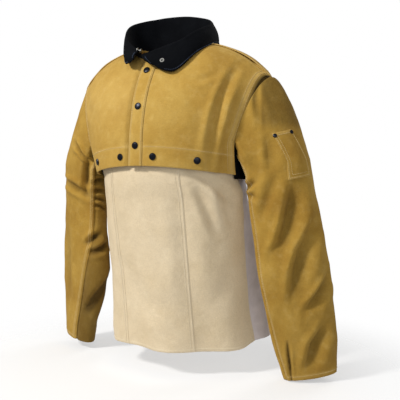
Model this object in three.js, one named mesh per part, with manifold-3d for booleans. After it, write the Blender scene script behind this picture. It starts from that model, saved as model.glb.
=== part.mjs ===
// A leather welding jacket: a cape with sleeves, a snap front, a black turned-down collar and a bib that
// snaps on below.
// Millimetres. +Z is up, the front faces -Y, and the wearer's left is +X.
// Every soft piece is a sheet of constant thickness over one of four base surfaces: torso, sleeve, collar
// and bib.
import * as THREE from "three";
import { mergeVertices } from "three/addons/utils/BufferGeometryUtils.js";
import Module from "manifold-3d";

const wasm = await Module();
wasm.setup();

// ---- Driving dimensions -----------------------------------------------------------------------------------
const LEATHER = 2.0; // sheet thickness of every leather layer
const LAYER_GAP = 1.1; // air between two layers that lie on each other
const SEAM_GAP = 1.9; // air between two panels that meet edge to edge

const TORSO = {
  ridgeY: 10, // the shoulder ridge's place from front to back
  frontDepth: 172, // chest depth in front of the ridge
  backDepth: 152,
  hemZ: 496, // front hem at the centre
  hemDrop: 20, // how much lower the hem is at the sides
  halfWidthAtHem: 200,
  flare: 0.32, // gain in half width per millimetre of height
  crown: 240, // height over which the chest rounds over to the ridge
  hemSideX: 188,
};
const NECK = { halfWidth: 85, frontZ: 733, backAngle: 1.277, ridgeZ: 785, ridgeRise: 0.18 };
const SHOULDER = { tipX: 261, drop: 87, curve: 2.1, seamAngle: 1.397 };
const ARMHOLE = { bottomX: 197, bottomZ: 548, inset: 64, curve: 0.6, notchAngle: 2.44 };
const SLEEVE = {
  turn: THREE.MathUtils.degToRad(27.6), // how far the flat of the sleeve turns towards the front
  topZ: 500, // where the head ends and the plain tube starts
  cuffZ: { left: 10, right: 28 }, // the right sleeve is drawn up a little
  cuffX: 336,
  cuffY: 64,
  topX: 264,
  broad: 72, // half width across the flat of the sleeve at its top
  elbowGain: 10, // how much broader it is below the elbow
  cuffLoss: 13, // how much narrower it is at the cuff
  thin: 54, // half width through the sleeve at its top
  cuffThin: 27,
};
const SHOULDER_PIVOT = { x: 290, z: 440, halfNotch: THREE.MathUtils.degToRad(16) };
const ELBOW_PIVOT = { y: 22, z: 312, halfNotch: THREE.MathUtils.degToRad(28) };
const BIB = {
  topZ: 545,
  foldZ: 484, // the bib hangs free below this line
  bottomZ: 60,
  cornerRise: 18,
  inset: 15, // the bib lies this far inside the cape
  halfWidth: 184,
  bottomHalfWidth: 185,
  sideGain: 9, // how much wider the bib gets round the sides
  depth: 152,
  bottomDepth: 135,
  bottomY: 60,
  seamAngle: THREE.MathUtils.degToRad(29),
  // The seam to the wings runs from the first angle at the top to the second at the bottom.
  sideAngle: [THREE.MathUtils.degToRad(84), THREE.MathUtils.degToRad(100)],
  wingAngle: THREE.MathUtils.degToRad(124),
  wingFlare: 60,
  wingFrom: THREE.MathUtils.degToRad(98), // where the wings start to flare
  stripAngle: THREE.MathUtils.degToRad(66), // the hidden strip ends here on both sides
};
const PLACKET = { halfWidth: 17, underlap: 22, dive: 7.6, diveFrom: 34 };
const HEM_FACING = { height: 42 };
const DRIFT = { slope: 0.041, fromZ: 490, halfWidth: 200 };
const ORIGIN = { x: -0.12, y: 3.05, z: -0.44 };
const SNAP_PLACKET_Z = [711, 628, 541];
const SNAP_HEM_X = [-134, -43, 43, 134];
const SNAP_HEM_RISE = 21; // snap centre above the hem edge
const COLLAR = { splitAngle: 138, endAngle: 168, thickness: 2.5, gap: 5 };

const { clamp, lerp, smoothstep, degToRad } = THREE.MathUtils;

// ---- Base surfaces ----------------------------------------------------------------------------------------
// Height of the shoulder ridge over x. Inside the neck it is the imaginary ridge that the neckline cuts away.
function ridgeZ(x) {
  const w = Math.abs(x);
  if (w < NECK.halfWidth) return NECK.ridgeZ + (NECK.halfWidth - w) * NECK.ridgeRise;
  const t = (w - NECK.halfWidth) / (SHOULDER.tipX - NECK.halfWidth);
  return NECK.ridgeZ - SHOULDER.drop * t ** SHOULDER.curve;
}

// Crown angle of a height: 0 where the chest starts to round over, PI/2 on the ridge.
function crownAngle(x, z) {
  const q = (z - ridgeZ(x)) / TORSO.crown + 1;
  return q < 0 ? q : Math.asin(Math.min(1, q));
}

// Torso point from x and crown angle. Side -1 is the front and 1 the back; past PI/2 it is over the ridge.
function torso(x, angle, side) {
  const z = ridgeZ(x) - TORSO.crown + TORSO.crown * (angle < 0 ? angle : Math.sin(angle));
  const halfWidth = TORSO.halfWidthAtHem + (z - TORSO.hemZ) * TORSO.flare;
  const round = Math.sqrt(Math.max(0, 1 - (x / halfWidth) ** 2));
  const lean = angle < 0 ? 1 : Math.cos(angle);
  const depth = side * lean < 0 ? TORSO.frontDepth : TORSO.backDepth;
  return new THREE.Vector3(x, TORSO.ridgeY + side * depth * round * lean, z);
}

const hemZ = (x) => TORSO.hemZ - TORSO.hemDrop * (x / TORSO.hemSideX) ** 2;

// The armhole's edge over t, from the shoulder tip (0) to the notch at the side (1), as x and height.
function armholeEdge(t) {
  return [
    SHOULDER.tipX - ARMHOLE.inset * t ** ARMHOLE.curve,
    ridgeZ(SHOULDER.tipX) - (ridgeZ(SHOULDER.tipX) - ARMHOLE.bottomZ) * t,
  ];
}

const NOTCH_AT = 0.3; // share of the side edge that lies below the armhole
const NECK_AT = 0.4; // share of the top edge that is neckline

// One half of the front or back: s runs from the centre to the side and t from the hem to the top.
// The four edges are blended in x and crown angle, so the patch follows hem, side, armhole, shoulder and
// neck.
function torsoPatch(s, t, side, lift = 0) {
  const seam = side < 0 ? SHOULDER.seamAngle : Math.PI - SHOULDER.seamAngle;
  const neckAngle = side < 0 ? crownAngle(0, NECK.frontZ) : NECK.backAngle;
  const bottom = (k) => [TORSO.hemSideX * k, crownAngle(TORSO.hemSideX * k, hemZ(TORSO.hemSideX * k))];
  const top = (k) => {
    if (k > NECK_AT) return [lerp(NECK.halfWidth, SHOULDER.tipX, (k - NECK_AT) / (1 - NECK_AT)), seam];
    const n = k / NECK_AT;
    return [NECK.halfWidth * n, lerp(neckAngle, seam, Math.abs(n) ** (side < 0 ? 1.7 : 7))];
  };
  const outer = (k) => {
    if (k < NOTCH_AT) {
      const n = k / NOTCH_AT;
      const x = lerp(TORSO.hemSideX, ARMHOLE.bottomX, n);
      return [x, crownAngle(x, lerp(hemZ(TORSO.hemSideX), ARMHOLE.bottomZ, n))];
    }
    const n = (k - NOTCH_AT) / (1 - NOTCH_AT);
    const [x, z] = armholeEdge(1 - n);
    return [x, lerp(crownAngle(x, z), seam, n ** 6)];
  };
  const inner = (k) => [0, lerp(crownAngle(0, hemZ(0)), neckAngle, k)];
  const [b, u, l, r] = [bottom(s), top(s), inner(t), outer(t)];
  const corner = [bottom(0), bottom(1), top(0), top(1)];
  const [x, angle] = [0, 1].map(
    (i) =>
      (1 - t) * b[i] +
      t * u[i] +
      (1 - s) * l[i] +
      s * r[i] -
      (1 - s) * (1 - t) * corner[0][i] -
      s * (1 - t) * corner[1][i] -
      (1 - s) * t * corner[2][i] -
      s * t * corner[3][i],
  );
  const p = torso(x, angle, side);
  p.y += lift;
  return p;
}

// Centre of the sleeve at a height, and its two cross directions, square to the sleeve's run.
function sleeveFrame(z) {
  const tall = 530;
  const y = (SLEEVE.cuffY * (698 - z)) / 690;
  const x = SLEEVE.cuffX - ((SLEEVE.cuffX - SLEEVE.topX) * z) / tall;
  const e1 = new THREE.Vector3(Math.cos(SLEEVE.turn), Math.sin(SLEEVE.turn), 0.158).normalize();
  const e2 = new THREE.Vector3(-Math.sin(SLEEVE.turn), Math.cos(SLEEVE.turn), 0.022).normalize();
  const low = clamp(1 - z / 130, 0, 1) ** 2;
  const broad = SLEEVE.broad + SLEEVE.elbowGain * Math.exp(-(((z - 270) / 170) ** 2)) - SLEEVE.cuffLoss * low;
  const thin = lerp(SLEEVE.cuffThin, SLEEVE.thin, clamp(z / SLEEVE.topZ, 0, 1) ** 0.8);
  return { centre: new THREE.Vector3(x, y, z), e1, e2, broad, thin };
}

function sleeveRing(phi, z) {
  const f = sleeveFrame(z);
  return f.centre
    .addScaledVector(f.e1, f.broad * Math.cos(phi))
    .addScaledVector(f.e2, f.thin * Math.sin(phi));
}

// The armhole as a loop: phi 0 is the shoulder tip, negative phi runs down the front, PI is the underarm.
function armholeLoop(phi) {
  const side = phi < 0 ? -1 : 1;
  const t = Math.abs(phi) / ARMHOLE.notchAngle;
  const [x, z] = armholeEdge(Math.min(1, t));
  const p = torso(x, crownAngle(x, z), side);
  if (t <= 1) return p;
  const k = (Math.abs(phi) - ARMHOLE.notchAngle) / (Math.PI - ARMHOLE.notchAngle);
  return p.lerp(new THREE.Vector3(ARMHOLE.bottomX + 4, TORSO.ridgeY, ARMHOLE.bottomZ - 4),
    Math.sin((k * Math.PI) / 2));
}

// The whole sleeve of the wearer's left: v 0 to 1 is the head, and v above 1 goes down the tube to 2 at
// the cuff.
function sleeve(phi, v) {
  if (v >= 1) return sleeveRing(phi, lerp(SLEEVE.topZ, SLEEVE.cuffZ.left, v - 1));
  const edge = armholeLoop(phi);
  const z = lerp(edge.z, SLEEVE.topZ, v);
  const g = smoothstep(v, 0, 1) * 0.5 + v * 0.5;
  return edge.lerp(sleeveRing(phi, z), g);
}

const tubeV = (z) => 1 + (SLEEVE.topZ - z) / (SLEEVE.topZ - SLEEVE.cuffZ.left);

// The collar's key loops at stations round the neck, in degrees from the centre back. The right side is the
// mirror image of these points: there the roll stands higher and the wing ends shorter than on the left.
const COLLAR_STATIONS = [0, 45, 90, 122, 145, 168];
const COLLAR_LEFT = {
  neck: [[0, 60, 794], [64, 47, 795], [90, 6, 790], [72, -54, 768], [44, -86, 752], [-12, -110, 739]],
  rim: [[0, 74, 876], [72, 54, 856], [106, 0, 830], [86, -54, 804], [50, -92, 774], [-18, -118, 748]],
  edge: [[0, 100, 803], [84, 72, 794], [121, -2, 782], [103, -78, 751], [69, -122, 706], [21, -129, 720]],
};
const COLLAR_RIGHT = {
  neck: [[0, 60, 794], [64, 47, 795], [90, 6, 790], [72, -54, 768], [48, -84, 754], [22, -106, 744]],
  rim: [[0, 74, 876], [70, 56, 874], [116, 0, 850], [97, -54, 812], [70, -88, 784], [26, -116, 758]],
  edge: [[0, 100, 803], [84, 72, 797], [118, -2, 786], [92, -73, 757], [54, -121, 732], [24, -137, 734]],
};

function collarCurve(name, degrees) {
  const [mine, other] = degrees < 0 ? [COLLAR_RIGHT, COLLAR_LEFT] : [COLLAR_LEFT, COLLAR_RIGHT];
  const points = mine[name];
  const a = clamp(Math.abs(degrees), 0, COLLAR.endAngle);
  let i = 0;
  while (i < COLLAR_STATIONS.length - 2 && a > COLLAR_STATIONS[i + 1]) i += 1;
  const k = (a - COLLAR_STATIONS[i]) / (COLLAR_STATIONS[i + 1] - COLLAR_STATIONS[i]);
  const mirror = ([x, y, z]) => [-x, y, z];
  const before = i > 0 ? points[i - 1] : mirror(other[name][1]);
  const after = i + 2 < points.length ? points[i + 2] : points[i + 1];
  const [x, y, z] = [0, 1, 2].map((c) => catmull(before[c], points[i][c], points[i + 1][c], after[c], k));
  return new THREE.Vector3(degrees < 0 ? -x : x, y, z);
}

function catmull(a, b, c, d, t) {
  return 0.5 * (2 * b + (c - a) * t + (2 * a - 5 * b + 4 * c - d) * t * t + (3 * b - a - 3 * c + d) * t * t
    * t);
}

const collarStand = (degrees, k) => collarCurve("neck", degrees).lerp(collarCurve("rim", degrees), k);

function collarFall(degrees, k) {
  const rim = collarCurve("rim", degrees);
  const p = rim.clone().lerp(collarCurve("edge", degrees), k);
  const out = new THREE.Vector3(rim.x, rim.y + 20, 0).normalize();
  return p.addScaledVector(out, COLLAR.gap + 6 * Math.sin(k * Math.PI));
}

// The bib: a round apron that hangs inside the cape's hem. Angle 0 is its centre line, and k runs from
// bottom to top.
function bib(angle, z) {
  const k = clamp((BIB.topZ - z) / (BIB.topZ - BIB.bottomZ), 0, 1);
  const side = BIB.sideGain * smoothstep(Math.abs(angle), 1.05, 1.83);
  const wing = BIB.wingFlare * smoothstep(Math.abs(angle), BIB.wingFrom, BIB.wingAngle + 0.1);
  const halfWidth = lerp(BIB.halfWidth, BIB.bottomHalfWidth, k) + (side + wing) * k;
  const depth = lerp(BIB.depth, BIB.bottomDepth, k);
  return new THREE.Vector3(halfWidth * Math.sin(angle), BIB.bottomY * k ** 1.1 - depth * Math.cos(angle), z);
}

// The bib's top lies inside the cape, so its ring there is the cape's own ring drawn in.
function bibTop(angle, z) {
  const halfWidth = TORSO.halfWidthAtHem + (z - TORSO.hemZ) * TORSO.flare - BIB.inset;
  const depth = TORSO.frontDepth - BIB.inset;
  return new THREE.Vector3(halfWidth * Math.sin(angle), TORSO.ridgeY - depth * Math.cos(angle), z);
}

const bibBottomZ = (angle) =>
  BIB.bottomZ + BIB.cornerRise * clamp(Math.abs(angle) / BIB.wingAngle, 0, 1) ** 4;

// The front hangs a little askew: above the hem its middle drifts towards the wearer's left.
function askew(p) {
  const rise = Math.max(0, p.z - DRIFT.fromZ);
  p.x += DRIFT.slope * rise * Math.max(0, 1 - (p.x / DRIFT.halfWidth) ** 2) * smoothstep(-p.y, 0, 90);
  return p;
}

// ---- Solids from surfaces ---------------------------------------------------------------------------------
function surfaceNormal(f, u, v, du, dv) {
  const a = f(u + du, v).sub(f(u - du, v));
  const b = f(u, v + dv).sub(f(u, v - dv));
  return a.cross(b).normalize();
}

const steps = (range) =>
  range.length === 3 ? Array.from({ length: range[2] + 1 }, (_, i) =>
    lerp(range[0], range[1], i / range[2])) : range;

// A sheet of the given thickness under surface f, over u and v given as [from, to, parts] or as a list of
// values. `flip` turns the outward side round, `offset` moves it outwards.
function sheet(f, u, v, { thickness = LEATHER, offset = 0, flip = false, loop = false } = {}) {
  const us = steps(u);
  const vs = steps(v);
  const [u0, u1, nu] = [us[0], us.at(-1), us.length - 1];
  const [v0, v1, nv] = [vs[0], vs.at(-1), vs.length - 1];
  const columns = loop ? nu : nu + 1;
  const front = [];
  const behind = [];
  for (let j = 0; j <= nv; j += 1) {
    for (let i = 0; i < columns; i += 1) {
      const s = us[i];
      const t = vs[j];
      const du = (u1 - u0) * 1e-3;
      const dv = (v1 - v0) * 1e-3;
      const inU = clamp(s, Math.min(u0, u1) + Math.abs(du), Math.max(u0, u1) - Math.abs(du));
      const inV = clamp(t, Math.min(v0, v1) + Math.abs(dv), Math.max(v0, v1) - Math.abs(dv));
      const n = surfaceNormal(f, loop ? s : inU, inV, du, dv).multiplyScalar(flip ? -1 : 1);
      const shift = typeof offset === "function" ? offset(s, t) : offset;
      front.push(f(s, t).addScaledVector(n, shift));
      behind.push(f(s, t).addScaledVector(n, shift - thickness));
    }
  }
  const at = (i, j) => j * columns + (i % columns);
  const count = front.length;
  const index = [];
  const quad = (a, b, c, d) => index.push(a, b, c, a, c, d);
  for (let j = 0; j < nv; j += 1) {
    for (let i = 0; i < nu; i += 1) {
      quad(at(i, j), at(i + 1, j), at(i + 1, j + 1), at(i, j + 1));
      quad(count + at(i, j), count + at(i, j + 1), count + at(i + 1, j + 1), count + at(i + 1, j));
    }
  }
  const rim = (a, b) => quad(a, count + a, count + b, b);
  for (let i = 0; i < nu; i += 1) {
    rim(at(i, 0), at(i + 1, 0));
    rim(at(i + 1, nv), at(i, nv));
  }
  if (!loop) {
    for (let j = 0; j < nv; j += 1) {
      rim(at(0, j + 1), at(0, j));
      rim(at(nu, j), at(nu, j + 1));
    }
  }
  if (flip) for (let i = 0; i < index.length; i += 3) [index[i + 1], index[i + 2]] = [index[i + 2],
    index[i + 1]];
  const points = [...front, ...behind].map(askew).flatMap((p) => [p.x, p.y, p.z]);
  return new THREE.BufferGeometry().setAttribute("position",
    new THREE.Float32BufferAttribute(points, 3)).setIndex(index);
}

function toSolid(geometry) {
  const bare = geometry.clone();
  bare.deleteAttribute("normal");
  bare.deleteAttribute("uv");
  const merged = mergeVertices(bare, 1e-4);
  const mesh = new wasm.Mesh({
    numProp: 3,
    vertProperties: merged.attributes.position.array,
    triVerts: new Uint32Array(merged.index.array),
  });
  return new wasm.Manifold(mesh);
}

function toGeometry(solid) {
  const mesh = solid.getMesh();
  return new THREE.BufferGeometry()
    .setAttribute("position", new THREE.BufferAttribute(Float32Array.from(mesh.vertProperties), 3))
    .setIndex(new THREE.BufferAttribute(Uint32Array.from(mesh.triVerts), 1));
}

function cut(geometry, tools) {
  return toGeometry(tools.reduce((solid, tool) => solid.subtract(toSolid(tool)), toSolid(geometry)));
}

// ---- Materials and assembly -------------------------------------------------------------------------------
const MATERIALS = {
  leather: new THREE.MeshStandardMaterial({ color: 0xb98d3e, roughness: 0.92, metalness: 0 }),
  bib: new THREE.MeshStandardMaterial({ color: 0xd6c29a, roughness: 0.92, metalness: 0 }),
  wing: new THREE.MeshStandardMaterial({ color: 0x948c8a, roughness: 0.95, metalness: 0 }),
  collar: new THREE.MeshStandardMaterial({ color: 0x101217, roughness: 0.85, metalness: 0 }),
  blackSnap: new THREE.MeshStandardMaterial({ color: 0x15171c, roughness: 0.25, metalness: 0.8 }),
  steel: new THREE.MeshStandardMaterial({ color: 0xb9bbb8, roughness: 0.3, metalness: 1 }),
};

const jacket = new THREE.Group();
function add(name, geometry, material, parent = jacket) {
  const mesh = new THREE.Mesh(geometry, MATERIALS[material]);
  mesh.name = name;
  parent.add(mesh);
  return mesh;
}

const mirrored = (f) => (a, b) => {
  const p = f(a, b);
  p.x = -p.x;
  return p;
};

// ---- Snaps ------------------------------------------------------------------------------------------------
// Each is turned about its own axis, with height 0 on the outer face of the leather that holds the cap.
const SNAP = { capRadius: 8.2, capHeight: 3, postRadius: 2, holeRadius: 2.6, sides: 14 };

const lathe = (profile) =>
  new THREE.LatheGeometry(profile.map(([r, h]) => new THREE.Vector2(r, h)), SNAP.sides).rotateX(Math.PI / 2);

// Domed cap with the post that goes down through the leather.
function snapCap(seat, postEnd) {
  const dome = [0.35, 0.7, 1].map((k) => [
    SNAP.capRadius * Math.cos((k * Math.PI) / 2),
    seat + 1.2 + (SNAP.capHeight - 1.2) * Math.sin((k * Math.PI) / 2),
  ]);
  dome[2][0] = 0;
  return lathe([
    [0, postEnd],
    [SNAP.postRadius, postEnd],
    [SNAP.postRadius, seat],
    [SNAP.capRadius - 0.6, seat],
    [SNAP.capRadius, seat + 0.7],
    ...dome,
  ]);
}

// Female half: a ring round the post, with a cavity facing away from the cap.
function snapSocket(top, bottom) {
  return lathe([
    [2.4, top],
    [2.4, top - 1.2],
    [3.7, top - 1.5],
    [3.7, bottom],
    [5.6, bottom],
    [6.3, top - 1],
    [6.3, top],
    [2.4, top],
  ]);
}

// Male half: a nub on a flange, with a shank through the leather and a rear washer.
function snapStud(nubTop, face, back) {
  return lathe([
    [0, back - 1],
    [5, back - 1],
    [5, back - 0.3],
    [2, back - 0.3],
    [2, face + 0.3],
    [5.5, face + 0.3],
    [5.5, face + 0.7],
    [2.4, face + 0.8],
    [2.9, nubTop - 0.3],
    [2.4, nubTop],
    [0, nubTop],
  ]);
}

// Turns a geometry whose axis is +Z so that +Z becomes the outward normal at a point of the cape.
function placed(geometry, point, normal) {
  const turn = new THREE.Quaternion().setFromUnitVectors(new THREE.Vector3(0, 0, 1), normal);
  return geometry.clone().applyQuaternion(turn).translate(point.x, point.y, point.z);
}

function capeSite(x, z) {
  const f = (a, b) => torso(a, crownAngle(a, b), -1);
  return { point: askew(f(x, z)), normal: surfaceNormal(f, x, z, 1, 1) };
}

const SOCKET = { top: -LEATHER - 1.1, mouth: -LEATHER - 3.8 };
const placketSites = SNAP_PLACKET_Z.map((z) => capeSite(0, z));
const hemSites = SNAP_HEM_X.map((x) => capeSite(x, hemZ(x) + SNAP_HEM_RISE));
const drill = (sites) =>
  sites.map((s) =>
    placed(new THREE.CylinderGeometry(SNAP.holeRadius, SNAP.holeRadius, 50, 10).rotateX(Math.PI / 2),
      s.point, s.normal),
  );

const edgeMargin = SEAM_GAP / 300; // share of a torso patch that a seam gap takes

// ---- Cape -------------------------------------------------------------------------------------------------
const sOf = (x) => x / TORSO.hemSideX; // share of the hem's half width, close enough near the centre
const FOLD = { bottom: 0.6, top: 0.27 }; // line on the left front about which it folds open

const dive = (s) =>
  -PLACKET.dive * (1 - smoothstep(s * TORSO.hemSideX, PLACKET.halfWidth + 1, PLACKET.diveFrom));
const rightX = [-PLACKET.underlap, -6, 6, PLACKET.halfWidth, 23, 29, PLACKET.diveFrom, 55, 78, 101, 124, 145,
  163, 176, 185];
const backX = [0, 26, 52, 78, 103, 125, 145, 163, 176, 185];
const topEdge = 1 - edgeMargin;
const rows = Array.from({ length: 15 }, (_, i) => (i * topEdge) / 14);

// The left front from its free edge to the fold line, and the part between the fold line and the side.
const leftFold = (t) => lerp(FOLD.bottom, FOLD.top, t);
const leftFrontSurface = (a, t) =>
  torsoPatch(lerp(sOf(-PLACKET.halfWidth), leftFold(t) - edgeMargin, a), t, -1);
const leftSideSurface = (a, t) => torsoPatch(lerp(leftFold(t) + edgeMargin, 1 - edgeMargin, a), t, -1);

add("left_front_panel", cut(sheet(leftFrontSurface, [0, 0.12, 0.24, 0.36, 0.5, 0.64, 0.78, 0.9, 1], rows),
  drill([...placketSites, hemSites[2]])), "leather");
add("left_front_side", cut(sheet(leftSideSurface, [0, 0.2, 0.4, 0.55, 0.7, 0.85, 1], rows),
  drill(hemSites.slice(3))), "leather");

// The right front dives under the placket by the room that the snaps need.
const rightFrontSurface = mirrored((s, t) => torsoPatch(s, t, -1));
add(
  "right_front_panel",
  cut(
    sheet(rightFrontSurface, [...rightX.map(sOf), 1 - edgeMargin], rows, { flip: true, offset: dive }),
    drill([...placketSites, ...hemSites.slice(0, 2)]),
  ),
  "leather",
);

const backSurface = (s, t) => {
  const p = torsoPatch(Math.abs(s), t, 1);
  if (s < 0) p.x = -p.x;
  return p;
};
const backHalf = [...backX.map(sOf), 1 - edgeMargin];
const backS = [...backHalf.slice(1).map((k) => -k).reverse(), ...backHalf];
add("back_panel", sheet(backSurface, backS, rows, { flip: true }), "leather");

// Strip along the free edge of the left front, on its outside, which carries the front snaps.
const stripSurface = (a, t) => torsoPatch(sOf(a), t, -1);
const stripRows = rows.map((t) => t * (1 - 6 / 250));
add(
  "placket_strip",
  cut(
    sheet(stripSurface, [-PLACKET.halfWidth, -6, 6, PLACKET.halfWidth], stripRows,
      { offset: LAYER_GAP + 1.6, thickness: 1.6 }),
    drill(placketSites),
  ),
  "leather",
);
// Facing behind the right front's edge, under the placket.
add(
  "underlap_facing",
  cut(
    sheet(stripSurface, [-PLACKET.halfWidth, -6, 6, PLACKET.underlap], stripRows,
      { offset: -PLACKET.dive - LEATHER - LAYER_GAP }),
    drill(placketSites),
  ),
  "leather",
);

// Hem facings: strips inside the hem that the hem snaps go through.
const facingRows = rows.slice(0, 4).map((t) => t * 0.81);
const facing = (from, to, n, side, extra = {}) =>
  sheet((s, t) =>
    torsoPatch(s, t, side), [from, to, n], facingRows, { offset: -LEATHER - LAYER_GAP, ...extra });
add("left_hem_facing", cut(facing(sOf(PLACKET.underlap + 4), FOLD.bottom - 0.06, 5, -1),
  drill([hemSites[2]])), "leather");
add(
  "right_hem_facing",
  cut(
    sheet(rightFrontSurface, [...rightX.slice(7).map(sOf), 1 - edgeMargin], facingRows,
      { flip: true, offset: -LEATHER - LAYER_GAP }),
    drill(hemSites.slice(0, 2)),
  ),
  "leather",
);
add("back_hem_facing", sheet(backSurface, backS, facingRows, { flip: true, offset: -LEATHER - LAYER_GAP }),
  "leather");

// Underarm gussets close the side between the front's and the back's edges, below the armhole.
function gusset(k, t) {
  const x = lerp(TORSO.hemSideX, ARMHOLE.bottomX, t);
  const z = lerp(hemZ(TORSO.hemSideX), ARMHOLE.bottomZ, t);
  const a = torso(x, crownAngle(x, z), -1);
  const b = torso(x, crownAngle(x, z), 1);
  const p = a.lerp(b, lerp(0.09, 0.91, k));
  p.x -= 8 * Math.sin(k * Math.PI) + 6;
  return p;
}
add("left_underarm_gusset", sheet(gusset, [0, 1, 4], [0.14, 0.9, 3], { thickness: 1.5 }), "collar");
add("right_underarm_gusset", sheet(mirrored(gusset), [0, 1, 4], [0.14, 0.9, 3],
  { thickness: 1.5, flip: true }), "collar");

// ---- Sleeves ----------------------------------------------------------------------------------------------
const seamFront = degToRad(-148);
const seamBack = degToRad(118);
const panelGap = 0.012;
const HEAD_START = 0.032;

// Heights of the cuts at the shoulder and elbow pivots, square to each hinge plane and opened to half its
// notch.
function shoulderCutZ(phi, sign) {
  const dx = sleeveRing(phi, SHOULDER_PIVOT.z).x - SHOULDER_PIVOT.x;
  return SHOULDER_PIVOT.z + sign * (1.5 + Math.max(0, dx + 3) * Math.tan(SHOULDER_PIVOT.halfNotch));
}
function elbowCutZ(phi, sign) {
  const dy = ELBOW_PIVOT.y - sleeveRing(phi, ELBOW_PIVOT.z).y;
  return ELBOW_PIVOT.z + sign * (1.5 + Math.max(0, dy + 3) * Math.tan(ELBOW_PIVOT.halfNotch));
}
// Ring height for a cut height: rings are tilted, so the ring's own height is found by one correction.
function ringZ(phi, z) {
  return z - (sleeveRing(phi, z).z - z);
}
const headSurface = (phi, k) => sleeve(phi, lerp(HEAD_START, tubeV(ringZ(phi, shoulderCutZ(phi, 1))), k));
const upperSurface = (phi, k) =>
  sleeveRing(phi, lerp(ringZ(phi, shoulderCutZ(phi, -1)), ringZ(phi, elbowCutZ(phi, 1)), k));
const forearmSurface = (cuffZ) => (phi, k) => sleeveRing(phi, lerp(ringZ(phi, elbowCutZ(phi, -1)), cuffZ, k));

for (const side of ["left", "right"]) {
  const flip = side === "left";
  const f = (surface) => (flip ? surface : mirrored(surface));
  const options = { flip };
  const outer = [seamFront + panelGap, seamBack - panelGap, 12];
  const under = [seamBack + panelGap, seamFront + 2 * Math.PI - panelGap, 5];
  add(`${side}_sleeve_head`, sheet(f(headSurface), [-Math.PI, Math.PI, 20], [0, 1, 6],
    { ...options, loop: true }), "leather");
  add(`${side}_upper_sleeve_outer`, sheet(f(upperSurface), outer, [0, 1, 3], options), "leather");
  add(`${side}_upper_sleeve_under`, sheet(f(upperSurface), under, [0, 1, 3], options), "leather");
  add(`${side}_forearm_sleeve_outer`, sheet(f(forearmSurface(SLEEVE.cuffZ[side])), outer, [0, 1, 6],
    options), "leather");
  add(`${side}_forearm_sleeve_under`, sheet(f(forearmSurface(SLEEVE.cuffZ[side])), under, [0, 1, 6],
    options), "leather");
}

// Pen pocket on the left sleeve head, with a rivet at each top corner.
const POCKET = {
  topZ: 566,
  bottomZ: 464,
  left: degToRad(-76),
  right: degToRad(-38),
  frontShift: degToRad(-4), // the patch drifts round the sleeve on its way down, more at its rear edge
  rearShift: degToRad(8),
};
function headAt(phi, z) {
  let low = 0.2;
  let high = 1.4;
  for (let i = 0; i < 24; i += 1) {
    const mid = (low + high) / 2;
    if (sleeve(phi, mid).z > z) low = mid;
    else high = mid;
  }
  return sleeve(phi, low);
}
const pocketSurface = (a, k) => {
  const phi = lerp(POCKET.left, POCKET.right, a) + lerp(POCKET.frontShift, POCKET.rearShift, a) * k;
  return headAt(phi, lerp(POCKET.topZ, POCKET.bottomZ, k) + 10 * a);
};
add("pen_pocket", sheet(pocketSurface, [0, 1, 4], [0, 1, 5],
  { flip: true, offset: LAYER_GAP + 1.6, thickness: 1.6 }), "leather");
const rivet = lathe([[0, 0], [4.6, 0], [4.8, 0.6], [3.5, 1.6], [0, 2]]);
[0.06, 0.94].forEach((a, i) => {
  const n = surfaceNormal(pocketSurface, a, 0.06, 0.01, 0.01).multiplyScalar(-1);
  const p = pocketSurface(a, 0.05).addScaledVector(n, LAYER_GAP + 1.6 + 0.7);
  add(`pocket_rivet_${i + 1}`, placed(rivet, p, n), "blackSnap");
});

// ---- Collar -----------------------------------------------------------------------------------------------
const C = COLLAR;
const collarSheet = (f, from, to, n) => sheet(f, [from, to, n], [0.07, 1, 3], { thickness: C.thickness });
add("collar_stand", collarSheet(collarStand, -C.endAngle, C.splitAngle - 1, 22), "collar");
add("left_collar_stand", collarSheet(collarStand, C.splitAngle + 1, C.endAngle, 5), "collar");
const fallSheet = (from, to, n) =>
  sheet(collarFall, [from, to, n], [0.03, 1, 4], { thickness: C.thickness, flip: true });
add("collar_fall", fallSheet(-C.endAngle, C.splitAngle - 1, 22), "collar");
add("left_collar_wing", fallSheet(C.splitAngle + 1, C.endAngle, 5), "collar");

// Neck snap: an open steel ring on the left wing.
const RING = { angle: 154, drop: 0.55 };
{
  const n = surfaceNormal(collarFall, RING.angle, RING.drop, 1, 0.02).multiplyScalar(-1);
  const p = collarFall(RING.angle, RING.drop).addScaledVector(n, 1.6);
  const ring = lathe([[2.4, 0], [5.2, 0], [5.2, 1], [3.4, 1.8], [2.4, 1], [2.4, 0]]);
  add("neck_snap_ring", placed(ring, askew(p), n), "steel");
}

// Hanging loop: a leather strap inside the collar stand, sewn at both ends and standing off in between.
const LOOP = { end: 24, flat: 40, height: 9, thickness: 2, y: 50, z: 804 };
{
  const end = collarStand(LOOP.end, 0.16);
  const rear = [[-end.x, end.y - 1.4], [-LOOP.flat / 2, LOOP.y], [LOOP.flat / 2, LOOP.y],
    [end.x, end.y - 1.4]];
  const inner = rear.map(([x, y]) => [x, y - LOOP.thickness]).reverse();
  const outline = new THREE.Shape([...rear, ...inner].map(([x, y]) => new THREE.Vector2(x, y)));
  add("hang_loop", new THREE.ExtrudeGeometry(outline,
    { depth: LOOP.height, bevelEnabled: false }).translate(0, 0, LOOP.z), "collar");
}

// ---- Bib --------------------------------------------------------------------------------------------------
// Below the fold line the bib leaves the cape's shape and takes its own.
const bibFace = (angle, z) => {
  const w = smoothstep(BIB.topZ - z, BIB.topZ - BIB.foldZ - 10, 130);
  const top = bibTop(angle, Math.max(z, 470));
  top.z = z;
  return top.lerp(bib(angle, z), w);
};
const seam = degToRad(0.4);
const bibSide = (k) => lerp(BIB.sideAngle[1], BIB.sideAngle[0], k); // k is 0 at the bottom here
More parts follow.
